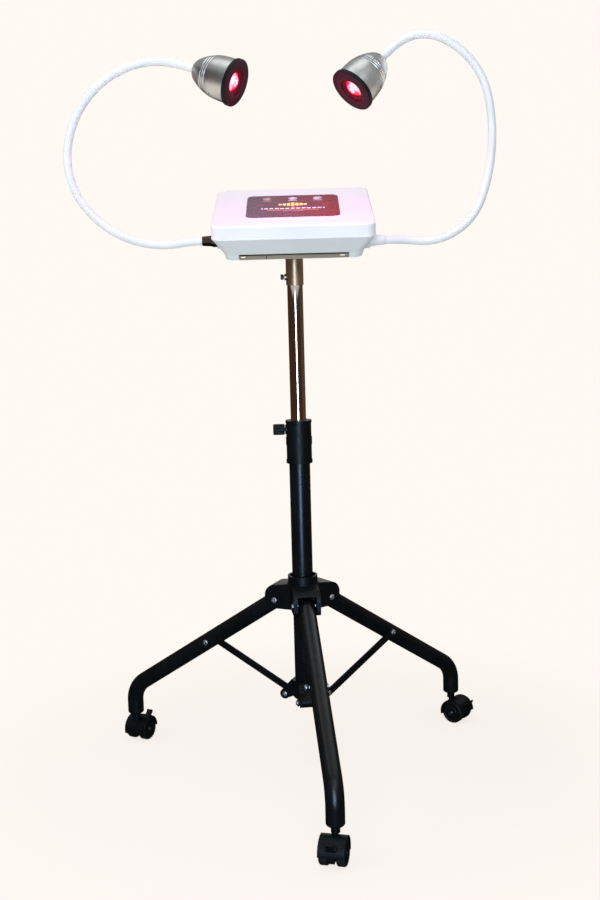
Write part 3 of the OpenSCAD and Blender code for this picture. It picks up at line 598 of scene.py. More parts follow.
def neck_sleeve():
    coat = Finish("white satin sleeve", Roughness=0.38, Subsurface_Weight=0.06, Subsurface_Scale=0.003)
    cloud = coat.noise(40, 3)
    grey = coat.noise(5, 4, 0.6).step(0.62, 0.8)
    coat.colour(cloud.step(0.35, 0.7), (0.73, 0.745, 0.775), (0.79, 0.80, 0.82))
    coat.rough(0.36 + 0.1 * cloud + 0.04 * grey)
    return coat.bump(coat.noise(6, 2), 0.02, 0.3)


def plain_metal(name, tone, rough):
    coat = Finish(name, Metallic=1.0, Roughness=rough)
    cloud = coat.noise(5, 3)
    coat.colour(cloud, tuple(c * 0.8 for c in tone), tone)
    coat.rough(rough - 0.06 + 0.16 * coat.noise(2, 3))
    return coat.bump(coat.noise(0.4, 2), 0.012, 0.6)


def plain_plastic(name, tone, rough):
    coat = Finish(name, Roughness=rough)
    cloud = coat.noise(12, 3)
    coat.colour(cloud, tuple(c * 0.82 for c in tone), tone)
    coat.rough(rough - 0.05 + 0.14 * coat.noise(4, 3))
    return coat.bump(coat.cells(0.5, feature="SMOOTH_F1"), 0.02)


# The control box lies in a tilted frame: U to the right, V up its slope, W out of its lid
BOX_TOP = 931.2
PRESS_WAY = Vector(JOINTS["key_middle_press"]["axis"])
BOX_TILT = atan2(PRESS_WAY.y, -PRESS_WAY.z)
BOX = Matrix.Translation((0, 0, BOX_TOP * MM)) @ Matrix.Rotation(BOX_TILT, 4, "X")
BOX_U, BOX_V, BOX_W = (BOX.to_3x3().col[i] for i in range(3))
BOX_ORIGIN = BOX.translation
KEY_PLACES = {"left": (-41, 46), "middle": (0, 46), "right": (40, 46)}
METER_PITCH, METER_V = 6.6, 8


def printed_film():
    """Panel film: dark wine ground that turns red towards the right as painted red light of the lamps, with key
    labels, a bar meter and rows of plain blocks.
    """
    coat = Finish("printed panel film", Roughness=0.3, Specular_IOR_Level=0.35)
    u = coat.along(BOX_ORIGIN, BOX_U) / MM
    v = coat.along(BOX_ORIGIN, BOX_V) / MM

    def strip(value, middle, half, soft=0.25):
        return (value - middle).shaped("ABSOLUTE").step(half + soft, half - soft)

    def blocks(pitch, half):
        return strip((u / pitch - (u / pitch).shaped("ROUND")) * pitch, 0, half)

    # Painted light: the ground turns red towards the right, standing for the lamps' red light
    ground = coat.blend(u.step(-60, 66), (0.15, 0.10, 0.12), (0.25, 0.008, 0.018))
    film = coat.blend(coat.noise(40, 3) * 0.5, ground, (0.06, 0.018, 0.024))
    level = (u / METER_PITCH).shaped("ROUND").shaped("ABSOLUTE")
    fade = (v - METER_V).shaped("ABSOLUTE")
    meter = blocks(METER_PITCH, 2.6) * strip(u, 0, 23) * fade.step(12.4 - 2.4 * level, 12.0 - 2.4 * level)
    marks = [(meter, (0.93, 0.66, 0.035)), (meter * fade.step(3.2, 2.8), (0.95, 0.90, 0.70)),
             (blocks(8.4, 3.1) * strip(u, 0, 50) * strip(v, -16, 2.9), (0.95, 0.90, 0.94)),
             (strip(u, 0, 40) * strip(v, -25.5, 1.3), (0.80, 0.36, 0.16)),
             (strip(u, 0, 17) * strip(v, -32, 0.7), (0.55, 0.42, 0.46))]
    marks += [(blocks(4.0, 1.1) * strip(u, middle, 6) * strip(v, METER_V, 1.1), (0.72, 0.07, 0.07))
              for middle in (-52, 52)]
    for name, (key_u, key_v) in KEY_PLACES.items():
        tone = (0.85, 0.30, 0.28) if name == "left" else (0.78, 0.70, 0.86)
        marks.append((strip(u, key_u, 7) * strip(v, key_v - 13, 1.5), tone))
    for mask, tone in marks:
        film = coat.blend(mask, film, tone)
    coat.feed("Base Color", film)
    coat.rough(0.2 + 0.14 * coat.noise(9, 4, 0.6))
    return coat.bump(coat.noise(1.2, 2), 0.003, 0.5)


def key_cap(name, middle, tone, ring):
    coat = Finish("key " + name, Roughness=0.22, Coat_Weight=0.5, Coat_Roughness=0.08)
    radius = coat.from_axis(middle, BOX_W)
    band = radius.step(4.2 * MM, 4.5 * MM) * radius.step(6.1 * MM, 5.8 * MM)
    cloud = coat.noise(3, 3)
    coat.colour(band, coat.blend(cloud, tone, tuple(c * 0.86 for c in tone)), ring)
    coat.rough(0.17 + 0.15 * cloud)
    return coat.bump(coat.noise(0.8, 2), 0.01, 0.5)


def circuit_green():
    coat = Finish("circuit board", Roughness=0.35)
    tracks = coat.cells(3.4, feature="DISTANCE_TO_EDGE", random=0.4)
    coat.colour(tracks.step(0.12, 0.08), (0.02, 0.16, 0.06), (0.10, 0.33, 0.13))
    coat.rough(0.3 + 0.2 * coat.noise(6))
    return coat.bump(tracks, 0.05)


# Recipes for what follows a path or repeats

def tube_recipe():
    """A round tube along a curve, which may swell and shrink a little as a sleeve over a spring does."""
    recipe = Recipe("tube along a path", Diameter="Float", Sides="Int", Ripple="Float", Pitch="Float")
    length = recipe.node("SplineParameter", output="Length")
    wave = (length * tau / recipe.given("Pitch")).shaped("SINE")
    swell = recipe.node("InputRadius") * (1 + wave * recipe.given("Ripple"))
    ring = recipe.node("CurvePrimitiveCircle", mode="RADIUS", Resolution=recipe.given("Sides"),
                       Radius=recipe.given("Diameter") * 0.5)
    tube = recipe.node("CurveToMesh", Curve=recipe.given("Geometry"), Profile_Curve=ring, Scale=swell,
                       Fill_Caps=True)
    recipe.close(recipe.node("SetShadeSmooth", Geometry=tube))
    return recipe


def pin_recipe():
    """A pin along each edge of a mesh, with a head at each end that faces the way 'way' says."""
    recipe = Recipe("pins with heads", Shank="Float", Head="Object")
    edges = recipe.given("Geometry")
    ring = recipe.node("CurvePrimitiveCircle", mode="RADIUS", Resolution=24,
                       Radius=recipe.given("Shank") * 0.5)
    shanks = recipe.node("CurveToMesh", Curve=recipe.node("MeshToCurve", Mesh=edges),
                         Profile_Curve=ring, Fill_Caps=True)
    head = recipe.node("ObjectInfo", Object=recipe.given("Head"), output="Geometry")
    way = recipe.node("InputNamedAttribute", data_type="FLOAT_VECTOR", Name="way")
    turn = add_node(recipe.tree, "FunctionNodeAlignRotationToVector", axis="Z", Vector=way)
    heads = recipe.node("InstanceOnPoints", Points=edges, Instance=head, Rotation=turn)
    both = recipe.tree.nodes.new("GeometryNodeJoinGeometry")
    for part in (shanks, heads):
        part.into(both.inputs[0])
    recipe.close(Flow(recipe.tree, both.outputs[0]))
    return recipe


def rib_recipe():
    """Round ribs that stand in a circle about the Z axis, as on a knob or a nut."""
    recipe = Recipe("ribs in a circle", Count="Int", Circle="Float", Rib="Float", Length="Float")
    index = recipe.node("InputIndex")
    turn = index * tau / recipe.given("Count")
    place = add_node(recipe.tree, "ShaderNodeCombineXYZ", *(
        turn.shaped(wave) * recipe.given("Circle") for wave in ("COSINE", "SINE")))
    points = recipe.node("Points", Count=recipe.given("Count"), Position=place)
    rib = recipe.node("MeshCylinder", fill_type="NGON", Vertices=14, Radius=recipe.given("Rib") * 0.5,
                      Depth=recipe.given("Length"))
    smooth = recipe.node("SetShadeSmooth", Geometry=rib)
    recipe.close(recipe.node("InstanceOnPoints", Points=points, Instance=smooth))
    return recipe


def path_curve(name, points, radii=None):
    """A curve through points in metres, with the share of the radius at each."""
    curve = bpy.data.curves.new(name, "CURVE")
    curve.dimensions = "3D"
    line = curve.splines.new("POLY")
    line.points.add(len(points) - 1)
    for spot, point, radius in zip(line.points, points, radii or [1.0] * len(points)):
        spot.co = (*point, 1)
        spot.radius = radius
    return curve


def outward(piece):
    bm = opened(piece.data)
    hardened(bm)
    closed(bm, piece.data)
    return piece


def together(name, *parts):
    bm = bmesh.new()
    finishes = list(dict.fromkeys(part.data.materials[0] for part in parts))
    for part in parts:
        start = len(bm.faces)
        bm.from_mesh(part.data)
        bm.faces.ensure_lookup_table()
        for face in bm.faces[start:]:
            face.material_index = finishes.index(part.data.materials[0])
        bpy.data.objects.remove(part)
    mesh = closed(bm, name)
    for material in finishes:
        mesh.materials.append(material)
    return show(name, mesh)


def pins(node, ends, shank, head, height):
    """Zinc pins between pairs of points in metres, with domed heads, which stand for a CAD node."""
    dome = lathe("rivet_head", eased([
        (0, -0.4), (head / 2, -0.4, 0), (head / 2, height * 0.5, 0.5), (head * 0.36, height * 0.6, 0.4),
        (head * 0.33, height, 0.6), (head * 0.12, height, 0.2), (head * 0.10, height * 0.72),
        (0, height * 0.72)]), zinc, sides=40)
    mesh = bpy.data.meshes.new(node + "_ends")
    points = [p for pair in ends for p in pair]
    mesh.from_pydata(points, [(i, i + 1) for i in range(0, len(points), 2)], [])
    way = mesh.attributes.new("way", "FLOAT_VECTOR", "POINT")
    for i, (a, b) in enumerate(ends):
        way.data[2 * i].vector = (a - b).normalized()
        way.data[2 * i + 1].vector = (b - a).normalized()
    piece = rivet.run(node + "_finished", mesh, zinc, Shank=shank * MM, Head=dome)
    bpy.data.objects.remove(dome)
    return stands_for(outward(piece), node)


# The stand: tubes, hub and braces

def at_joint(name):
    return Vector(JOINTS[name]["pos_m"])


def level(name):
    """Way from the mast's axis to a joint, seen from above."""
    return at_joint(name) * Vector((1, 1, 0))


def leg_path(leg):
    """Points along a leg's centre line from its round upper end, and the share of the radius there."""
    out = level(HUB_PINS[leg]).normalized()
    stance = level(f"caster_{leg}_swivel").length
    start = Vector((PIN_REACH, at_joint(HUB_PINS[leg]).z))
    tangent = BEND_R * tan((pi / 2 - LEG_SLOPE) / 2)
    corner = Vector((stance, start.y - (stance - PIN_REACH) * tan(LEG_SLOPE)))
    down = Vector((cos(LEG_SLOPE), -sin(LEG_SLOPE)))
    points, radii = [], []
    for i in range(9):
        back = LEG_WIDTH / 2 * cos(radians(90 * i / 8)) * 0.999
        points.append(start - down * back)
        radii.append(sqrt(max(1 - (back / (LEG_WIDTH / 2)) ** 2, 0.0004)))
    bend_start = corner - down * tangent
    points += [start.lerp(bend_start, i / 30) for i in range(1, 31)]
    centre = Vector((stance - BEND_R, corner.y - tangent))
    for i in range(1, 21):
        turn = (pi / 2 - LEG_SLOPE) * (1 - i / 20)
        points.append(centre + Vector((cos(turn), sin(turn))) * BEND_R)
    low = LEG_END + 4 * MM
    points += [Vector((stance, centre.y + (low - centre.y) * i / 8)) for i in range(1, 9)]
    radii += [1.0] * (len(points) - len(radii))
    return [(out.x * p.x, out.y * p.x, p.y) for p in points], radii


HUB_PINS = {"front": "leg_front_fold", "right": "leg_right_fold", "left": "leg_left_to_hub"}
COLLAR_PINS = {"front": "brace_front_fold", "right": "brace_right_fold", "left": "stand_fold"}
LEG_WIDTH, BEND_R, PIN_REACH, BRACE_PIN_AT = 28 * MM, 45 * MM, 43.3 * MM, 162.8 * MM
LEG_SLOPE = radians(33.05)
LEG_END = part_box("leg_plug_front")[0].z
rod = tube_recipe()
rivet = pin_recipe()
ribs = rib_recipe()
powder = powder_black()
nylon = moulded_black()
zinc = bright_zinc()

for node, inner, outer, edge, finish in (
        ("outer_tube", 15.5, 17, 0.4, scraped_black((0, 0, 0.3))), ("chrome_post", 11, 12.5, 0.5, chrome())):
    low, high = (corner.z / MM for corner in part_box(node))
    outline = [(inner, low), (outer, low, edge), (outer, high, edge), (inner, high)]
    turned(node, eased(outline), finish, sides=128)

for leg in LEGS:
    stands_for(outward(rod.run(
        f"leg_{leg}_finished", path_curve(f"leg_{leg}_path", *leg_path(leg)), powder,
        Diameter=LEG_WIDTH, Sides=64, Ripple=0.0, Pitch=1.0)), f"leg_tube_{leg}")
    softened(f"leg_plug_{leg}", nylon, 0.4)
    softened(f"brace_{leg}", powder, 0.5)

softened("leg_hub", nylon, 1.1)
softened("lower_collar", nylon, 0.9)
softened("clamp_collar", nylon, 0.7)


def rivet_ends(point, leg, low, high):
    """Ends of a leg's pin: it is level, and its axis points left as seen from outside the leg."""
    foot = level(f"caster_{leg}_swivel")
    way = Vector((-foot.y, foot.x, 0)).normalized()
    return point + way * low * MM, point + way * high * MM


pins("hub_pins", [rivet_ends(at_joint(HUB_PINS[leg]), leg, -22, 22) for leg in LEGS], 5.96, 9.5, 2.2)
pins("collar_pins", [rivet_ends(at_joint(COLLAR_PINS[leg]), leg, -18.7, 7) for leg in LEGS], 4.96, 8.5, 2)
for leg in LEGS:
    down = level(f"caster_{leg}_swivel").normalized() * cos(LEG_SLOPE)
    down.z = -sin(LEG_SLOPE)
    brace_pin = at_joint(HUB_PINS[leg]) + down * BRACE_PIN_AT
    pins(f"brace_pin_{leg}", [rivet_ends(brace_pin, leg, -19.6, 14)], 4.96, 9.4, 2)


# Casters

# One wheel from the inner face to the outer, with a dished side and a cap
WHEEL = eased([
    (2.6, 0), (18, 0, 1.2), (20, 1.6, 1.2), (20, 11.6, 1.2), (18.2, 13.5, 1.0), (15.4, 13.5, 0.5),
    (14.6, 12.5, 0.5), (9.6, 12.3, 0.8), (8.4, 13.1, 0.6), (6.4, 13.1, 0.4), (5.6, 12.5, 0.4), (2.6, 12.4)])
for leg in LEGS:
    axle = at_joint(f"wheels_{leg}_roll")
    way = Vector(JOINTS[f"wheels_{leg}_roll"]["axis"])
    wheel = wheel_black(axle, way)
    halves = []
    for turn in (1, -1):
        halves.append(lathe(f"wheel_{leg}_{turn}", WHEEL, wheel,
                            axes_at(axle + way * turn * 6 * MM, way * turn), sides=80))
    halves.append(lathe(f"axle_{leg}", [(0, -18.2), (2.9, -18.2), (2.9, 18.2), (0, 18.2)],
                        zinc, axes_at(axle, way), sides=32))
    stands_for(together(f"caster_wheels_{leg}_finished", *halves), f"caster_wheels_{leg}")
    softened(f"caster_hood_{leg}", nylon, 0.45)
    softened(f"caster_brake_{leg}", nylon, 0.4)


# Clamp knob with its flutes
knob_low, knob_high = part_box("clamp_knob")
knob_middle = (knob_low + knob_high) / 2
knob_spot = axes_at((0, knob_middle.y, knob_middle.z), (-1, 0, 0), (0, 0, 1))
knob_nylon = moulded_black("knob nylon", (0.002, 0.0024, 0.003), 0.38, 0.4)
knob_body = lathe("knob_body", eased([
    (0, 15.9), (3, 15.9), (3, 22.6), (8.2, 22.6, 0.6), (8.2, 41.5, 1.6), (5.6, 41.5, 0.5), (5, 40.9, 0.3),
    (0, 40.9)]), knob_nylon, knob_spot, sides=72)
knob_ribs = ribs.run("knob_ribs", bpy.data.meshes.new("knob_seed"), knob_nylon,
                     Count=18, Circle=7.9 * MM, Rib=2.2 * MM, Length=17 * MM)
knob_ribs.data.transform(knob_spot @ Matrix.Translation((0, 0, 32.4 * MM)))
stands_for(together("clamp_knob_finished", knob_body, outward(knob_ribs)), "clamp_knob")


# Control box

def drilled(piece, low):
    """The piece with a round hole through it for each key."""
    for u, v in KEY_PLACES.values():
        drill = lathe("drill", [(0, low), (7.4, low), (7.4, 4), (0, 4)], printed,
                      BOX @ Matrix.Translation((u * MM, v * MM, 0)), sides=48)
        hole = piece.modifiers.new("hole", "BOOLEAN")
        hole.operation = "DIFFERENCE"
        hole.solver = "EXACT"
        hole.object = drill
        applied(piece)
        bpy.data.objects.remove(drill)
    while len(piece.data.materials) > 1:
        piece.data.materials.pop()
    return outward(piece)


printed = printed_film()
lid_finish = box_plastic("white lid", (0.83, 0.815, 0.845), (0.78, 0.77, 0.80), 0.36)
tray_finish = box_plastic("pale grey tray", (0.66, 0.71, 0.715), (0.61, 0.66, 0.67), 0.4)

LID = [(243.4, 222.4, 11.5, -2.5), (243.4, 222.4, 11.5, -21.4), (249.2, 228.2, 14.6, -21.4),
       (250, 229, 15, -21.0), (250, 229, 15, -19.3), (249.4, 228.4, 14.7, -18.9),
       (248.8, 227.8, 14.4, -18.9), (248.4, 227.4, 14.2, -18.5)]
for i in range(9):
    turn = radians(90 * i / 8)
    inset = 2 * 3.2 * (1 - cos(turn))
    LID.append((248.4 - inset, 227.4 - inset, 14.2 - inset / 4, -3.0 + 3.0 * sin(turn)))
LID += [(146.9, 133.9, 12.4, 0), (146.4, 133.4, 12.2, -0.25), (146.4, 133.4, 12.2, -0.6)]
lid = lofted("box_lid_finished", [rounded_ring(*ring) for ring in LID], lid_finish, BOX)
stands_for(evened(drilled(lid, -8)), "box_lid")

FILM = [(146, 133, 12, -0.58), (146, 133, 12, 0.35), (145.5, 132.5, 11.75, 0.6)]
film = lofted("control_panel_finished", [rounded_ring(*ring) for ring in FILM], printed, BOX)
stands_for(evened(drilled(film, -4)), "control_panel")

KEY_TONES = {"left": ((0.60, 0.42, 0.50), (0.50, 0.05, 0.07)),
             "middle": ((0.80, 0.80, 0.90), (0.26, 0.27, 0.60)),
             "right": ((0.84, 0.76, 0.86), (0.36, 0.28, 0.52))}
for name, (u, v) in KEY_PLACES.items():
    middle = BOX @ Vector((u * MM, v * MM, 0))
    cap = key_cap(name, middle, *KEY_TONES[name])
    turned(f"key_{name}", eased([
        (0, -7.85), (2.5, -7.85), (2.5, -1.7), (7, -1.7, 0.3), (7, 1.1, 0.7), (5.9, 1.5, 0.5),
        (4.4, 1.05, 1.2), (0, 0.9)]), cap, axes_at(middle, BOX_W, BOX_U), sides=64)

softened("box_tray", tray_finish, 1.2)
bracket_steel = brushed_bracket()
softened("mount_bracket", bracket_steel, 0.45)
# Painted shade: a thin black strip laid on the front flange as a dark line of shade
SHADE_STRIP = ((-43.2, -94.4), (-41.6, -94.4), (-41.6, -93), (-43.2, -93))
stands_for(lofted("flange_joint", [[(*corner, w) for corner in SHADE_STRIP] for w in (-57.4, -50.5)],
                  nylon, BOX), "mount_bracket")
softened("bracket_screw", plain_metal("blackened screw", (0.12, 0.12, 0.125), 0.35), 0.15, 2)
# Both glands are one part: its left half is painted dark brown as shade, and its right half white as lit
lit_gland_finish = plain_plastic("gland painted white as lit", (0.80, 0.82, 0.85), 0.4)
shaded_gland_finish = plain_metal("gland painted dark as shade", (0.11, 0.075, 0.048), 0.3)
for side, gland_finish in (("left", shaded_gland_finish), ("right", lit_gland_finish)):
    gland = softened("neck_glands", gland_finish, 0.3, 2)
    gland.name = f"neck_gland_{side}_finished"
    bm = opened(gland.data)
    bmesh.ops.delete(bm, geom=[v for v in bm.verts if v.co.x * SIDES[side] < 0], context="VERTS")
    closed(bm, gland.data)
softened("plate_screws", zinc, 0.3)
softened("case_screws", zinc, 0.3)
softened("power_inlet", plain_plastic("inlet black", (0.012, 0.012, 0.012), 0.35), 0.25, 2)
softened("power_supply", plain_plastic("supply block", (0.02, 0.022, 0.027), 0.45), 0.5)
softened("circuit_board", circuit_green(), 0.08, 1)
bush = plain_plastic("bush plastic", (0.03, 0.032, 0.035), 0.4)
softened("tube_bush", bush, 0.2, 2)
softened("post_end_bush", bush, 0.3, 2)
softened("pressure_pad", plain_plastic("pad plastic", (0.42, 0.25, 0.10), 0.4), 0.3, 2)


# Necks: each step is [length, turn, roll before it], in millimetres and degrees
NECK_STEPS = {
    "left": [(35, -8.5, 0), (80.5, 30.5, 0), (80.5, 30.5, 0), (100, 47.5, 0), (77.5, 30, 0),
             (77.5, 30, 0), (72.6, 32.5, 0), (33.5, 23.5, -65.8)],
    "right": [(50, -6.5, 0), (64, 38.5, 0), (64, 38.5, 0), (154, 31, 0), (61, 28.7, 0),
              (61, 28.7, 0), (63.3, 55.9, 0), (35.9, 24.3, 62)]}


def neck_line(side):
    """Points along a neck, the distance of each, the distances of its steps, and the frame at its end."""
    here = Matrix.Translation(at_joint(f"neck_{side}_swing")) @ Matrix.Rotation(
        radians(90 * SIDES[side]), 4, "Y") @ Matrix.Rotation(
        radians(0 if side == "left" else 180), 4, "Z")
    points, reach, marks = [here.translation.copy()], [0.0], [0.0]
    for length, turn, roll in NECK_STEPS[side]:
        here = here @ Matrix.Rotation(radians(roll), 4, "Z")
        bend = radians(turn)
        radius = length * MM / abs(bend)
        count = max(int(length / 1.25), 2)
        for i in range(1, count + 1):
            part = bend * i / count
            off = Vector((copysign(radius * (1 - cos(part)), bend), 0,
                          radius * sin(abs(part))))
            points.append(here @ off)
            reach.append(marks[-1] + length * MM * i / count)
        here = here @ Matrix.Translation(off) @ Matrix.Rotation(bend, 4, "Y")
        marks.append(reach[-1])
    return points, reach, marks, here


def lamp_outline(high):
    """Half section of a lamp's bell: outer skin with three half-round grooves, then the inside."""
    bell = smooth_line([(12.6, 2.6), (16.8, 6.6), (20.8, 12.6), (24.2, 18.6), (26.9, 24.8), (29.2, 31),
                        (31, 37), (32.3, 45), (33.2, 58), (33.2, 68.4)])

    def radius_at(z):
        for (r0, z0), (r1, z1) in zip(bell, bell[1:]):
            if z0 <= z <= z1:
                return r0 + (r1 - r0) * (z - z0) / max(z1 - z0, 1e-9)
        return bell[-1][0]

    skin = []
    z = 2.6
    while z < high:
        radius = min(radius_at(z), 33.2)
        for groove in GROOVES:
            off = abs(z - groove)
            if off < 1.15:
                radius -= sqrt(1.15 ** 2 - off ** 2) * 0.9
        skin.append((radius, z + 1.4))
        near = any(abs(z - groove) < 1.5 for groove in GROOVES)
        z += 0.18 if near else 1.1
    skin.append((33.2, high + 1.4))
    inside = [(radius_at(z) - 2.2, z + 1.4) for z in (high, 60, 50, 40, 30, 22, 16, 11, 7)]
    return [(0, 4.4), (7.05, 4.4), (7.05, 1.4), *eased([(9, 1.4), (9.15, 3.9), (12.3, 4.0)], 2)[1:],
            *skin, *inside, (0, 8.4)]


GROOVES = (25.6, 29.9, 34.2)
SET_SCREWS = {"left": 38, "right": 328}
sleeve = neck_sleeve()
LENS_R = 14.8
for side in SIDES:
    points, reach, marks, tip = neck_line(side)
    cuts = [-25 * MM] + [0.5 * (marks[a] + marks[b]) for a, b in ((0, 2), (2, 5), (5, 8))] + [marks[8]]
    names = (f"neck_{side}_lower", f"neck_{side}_middle", f"neck_{side}_upper")
    for i in range(4):
        line = [p for p, r in zip(points, reach) if cuts[i] - 1e-7 <= r <= cuts[i + 1] + 1e-7]
        far = [r for r in reach if cuts[i] - 1e-7 <= r <= cuts[i + 1] + 1e-7]
        if i < 3:
            after = reach.index(far[-1]) + 1
            line.append(points[after])
            far.append(reach[after])
        piece = outward(rod.run(
            f"neck_{side}_{i + 1}", path_curve(f"neck_{side}_{i + 1}_path", line), sleeve,
            Diameter=12.4 * MM, Sides=40, Ripple=0.0035, Pitch=5.2 * MM))
        if i in (0, 3):
            stands_for(piece, names[0] if i == 0 else names[2])
        else:
            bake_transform(piece)
            if i == 1:
                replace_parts(piece, names[1])

    centre, way = tip.translation, tip.to_3x3().col[2]
    polished = [(1.4 + groove - 1.1, 1.4 + groove + 1.1) for groove in GROOVES]
    turn = radians(SET_SCREWS[side])
    screw = tip @ Vector((0, 0, 46 * MM))
    screw_way = tip.to_3x3() @ Vector((cos(turn), sin(turn), 0))
    aluminium = turned_aluminium(centre, way, polished, screw, screw_way)
    turned(f"lamp_shell_{side}", lamp_outline(68.4), aluminium, tip, sides=128)
    turned(f"lamp_ring_{side}", eased([
        (15, 67.9), (27, 67.9), (27, 61.9), (31, 61.9), (31, 69.82), (35.5, 69.82, 0.5), (35.5, 75.8, 1.0),
        (20.2, 75.8, 0.5), (20, 72.8, 0.4), (15, 72.8, 0.4)]), lamp_face_black(centre, way), tip, sides=128)
    dome = [LENS_R * cos(radians(t)) for t in range(0, 90, 6)]
    dome = [(r, 50.3 + sqrt(20 ** 2 + LENS_R ** 2 - r ** 2)) for r in dome]
    turned(f"lamp_lens_{side}", [(0, 64.8), (LENS_R, 64.8), *dome, (0, 75.17)], clear_lens(centre, way), tip)
    bowl = lathe(f"reflector_{side}", [
        (0, 52.6), (5, 52.6), (9, 55), (12.5, 59.5), (14.2, 64.4), (14.7, 64.4), (13, 59), (9.4, 53.6),
        (0, 51.6)], lit_reflector(centre, way), tip)
    heat_sink = lathe(f"heat_sink_{side}", [
        (0, 33.4), (15, 33.4), (15, 47.4), (20, 47.4), (20, 49.4), (0, 49.4)],
        plain_metal("heat sink", (0.7, 0.7, 0.68), 0.4), tip, sides=48)
    stands_for(together(f"led_board_{side}_finished", bowl, heat_sink), f"led_board_{side}")


# Backdrop, floor and light

BACKDROP = (1.0, 0.947, 0.896)
scene = bpy.context.scene
world = bpy.data.worlds.new("studio")
world.use_nodes = True
scene.world = world
room = world.node_tree


def seen_rays(tree):
    """1 for a ray from the camera, off a polished surface or through a clear one."""
    rays = tree.nodes.new("ShaderNodeLightPath")
    camera, glossy, clear = (Flow(tree, rays.outputs[f"Is {name} Ray"])
                             for name in ("Camera", "Glossy", "Transmission"))
    return camera.at_least(glossy).at_least(clear)


ambient, backdrop = (
    add_node(room, "ShaderNodeBackground", Color=(*tone, 1), Strength=strength)
    for tone, strength in (((0.94, 0.96, 1.0), 0.44), (BACKDROP, 1.0)))
add_node(room, "ShaderNodeMixShader", seen_rays(room), ambient, backdrop).into(
    room.nodes["World Output"].inputs["Surface"])


def pale_floor():
    """Floor in the backdrop's colour that keeps a soft shadow near the stand."""
    finish = Finish("pale studio floor", Base_Color=(0.86, 0.82, 0.78, 1), Roughness=0.85,
                    Specular_IOR_Level=0.1)
    apart = finish.vectors("LENGTH", finish.place, output="Value")
    plain = finish.node("Emission", Color=(*BACKDROP, 1), Strength=1.0)
    finish.node("MixShader", seen_rays(finish.tree) * (0.84 + 0.16 * apart.step(0.40, 0.75)),
                Flow(finish.tree, finish.shader.outputs[0]), plain).into(
        finish.tree.nodes["Material Output"].inputs["Surface"])
    return finish.material


def card(name, mesh, material, place=(0, 0, 0), seen=False):
    """A sheet beside the stand. Only polished surfaces see it, unless it is to be seen."""
    mesh.materials.append(material)
    sheet = linked(name, mesh)
    sheet.location = place
    sheet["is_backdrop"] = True
    for ray in () if seen else ("camera", "diffuse", "shadow", "transmission", "volume_scatter"):
        setattr(sheet, f"visible_{ray}", False)


def flat(width, depth):
    mesh = bpy.data.meshes.new("flat")
    x, y = width / 2, depth / 2
    mesh.from_pydata([(-x, -y, 0), (x, -y, 0), (x, y, 0), (-x, y, 0)], [], [(0, 1, 2, 3)])
    return mesh


def curved(radius, first, last, low, high):
    """An upright sheet bent round the stand, from one angle to another, seen from above."""
    bm = bmesh.new()
    rows = []
    for i in range(25):
        turn = radians(first + (last - first) * i / 24)
        rows.append([bm.verts.new((radius * sin(turn), -radius * cos(turn), z)) for z in (low, high)])
    for a, b in zip(rows, rows[1:]):
        bm.faces.new((a[0], b[0], b[1], a[1]))
    return closed(bm, "curved")


card("floor", flat(14, 14), pale_floor(), (0, 0, -0.0004), seen=True)


def card_colour(name, colour, strength=1.0):
    material = bpy.data.materials.new(name)
    material.use_nodes = True
    tree = material.node_tree
    tree.nodes.remove(tree.nodes["Principled BSDF"])
    add_node(tree, "ShaderNodeEmission", Color=(*colour, 1), Strength=strength).into(
        tree.nodes["Material Output"].inputs["Surface"])
    return material


brown = card_colour("dark brown card", (0.050, 0.022, 0.010))
dusk = card_colour("dim upper card", (0.30, 0.31, 0.32))
window = card_colour("soft window", (0.88, 0.96, 1.0), 1.5)
pale = card_colour("pale card", BACKDROP, 0.9)
for name, *shape, material in (
        ("left", 1.5, -174, -6, -0.2, 1.0, brown),
        ("line", 1.45, 5, 8.5, -0.2, 1.0, card_colour("black card", (0.006, 0.007, 0.009))),
        ("right", 1.5, 11, 70, -0.2, 1.0, brown),
        ("far_right", 1.5, 70, 174, -0.2, 1.0, card_colour("umber card", (0.075, 0.048, 0.032))),
        ("high", 1.5, -180, 180, 1.0, 2.4, dusk),
        ("shade_left", 1.42, -110, -24, 1.05, 2.0, card_colour("shade card", (0.05, 0.035, 0.035))),
        ("window_front", 1.42, 8, 40, 1.05, 2.3, window),
        ("window_right", 1.42, 110, 140, 1.05, 2.3, window),
        ("cool", 1.4, -7, 7, 0.1, 0.5, card_colour("cool low card", (0.32, 0.58, 1.0), 16.0))):
    card("card_" + name, curved(*shape), material)
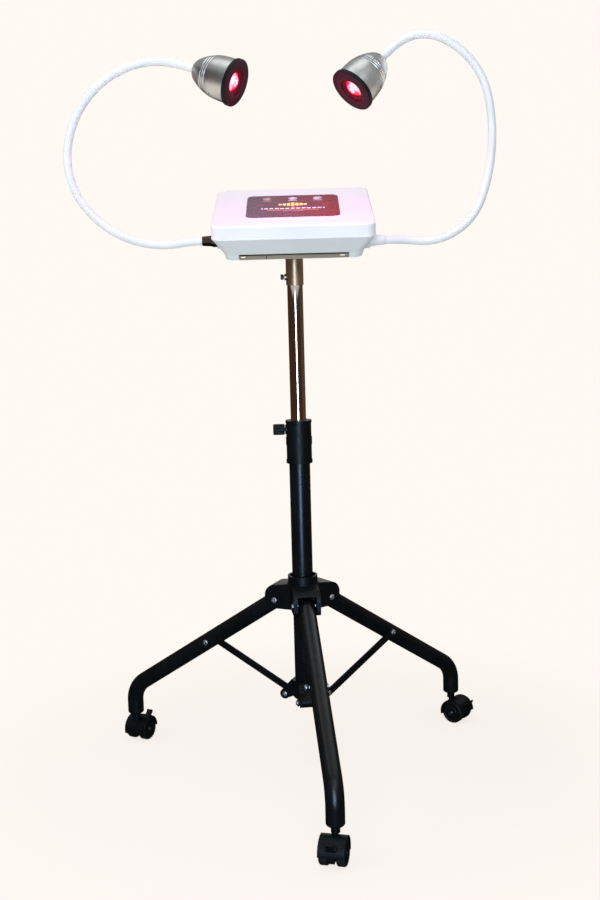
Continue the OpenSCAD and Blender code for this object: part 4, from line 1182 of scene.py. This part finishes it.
for name, width, depth, place, material in (
        ("ceiling", 4, 4, (0, 0, 2.4), dusk),
        ("floor", 5, 5, (0, 0, 0.003), card_colour("dark card over the floor", (0.020, 0.018, 0.016))),
        ("under_box", 0.6, 0.312, (0, -0.274, 0.832), card_colour("grey card", (0.50, 0.46, 0.41))),
        ("window_top", 1.2, 0.8, (-0.1, -0.2, 2.3), window),
        ("under_left", 0.44, 0.5, (-0.42, -0.1, 0.97), pale),
        ("under_right", 0.44, 0.5, (0.42, -0.1, 0.97), pale)):
    card("card_" + name, flat(width, depth), material, place)


def area_light(name, size, place, aim, power, colour, glossy=True):
    data = bpy.data.lights.new(name, "AREA")
    data.shape = "RECTANGLE"
    data.size, data.size_y = size
    data.energy = power
    data.color = colour
    lamp = linked(name, data)
    lamp.matrix_world = axes_at(place, Vector(place) - Vector(aim), (1, 0, 0))
    lamp.visible_camera = False
    lamp.visible_glossy = glossy
    lamp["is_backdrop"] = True


area_light("front_strip", (0.34, 1.9), (0.0, -1.75, 0.95), (0, 0, 0.75), 16, (0.70, 0.86, 1.0))
area_light("top_soft", (1.8, 1.6), (-0.2, -0.5, 2.6), (0, 0, 0.7), 24, (1.0, 0.985, 0.97), glossy=False)
area_light("left_soft", (1.0, 1.6), (-2.0, -1.0, 1.4), (0, 0, 0.8), 15, (1.0, 0.98, 0.96), glossy=False)

# Red light of the lamps, which tints the lid
for side in SIDES:
    tip = neck_line(side)[3]
    data = bpy.data.lights.new(f"red_beam_{side}", "SPOT")
    data.energy = 1.4
    data.color = (1.0, 0.10, 0.80)
    data.spot_size = radians(176)
    data.spot_blend = 1.0
    data.shadow_soft_size = 0.02
    beam = linked(f"red_beam_{side}", data)
    beam.matrix_world = tip @ Matrix.Translation((0, 0, 0.082)) @ Matrix.Rotation(pi, 4, "X")
    beam.visible_glossy = False
    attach(beam, f"lamp_{side}")

camera_data = bpy.data.cameras.new("camera")
camera_data.lens = 47.31
camera_data.sensor_width = 36
camera = linked("camera", camera_data)
camera.matrix_world = (Matrix.Translation((0.00118, -1.9084, 0.8162))
                       @ Matrix.Rotation(pi / 2 - 0.1434, 4, "X") @ Matrix.Rotation(-0.0265, 4, "Z"))
scene.camera = camera
scene.view_settings.view_transform = "Standard"

low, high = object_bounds()
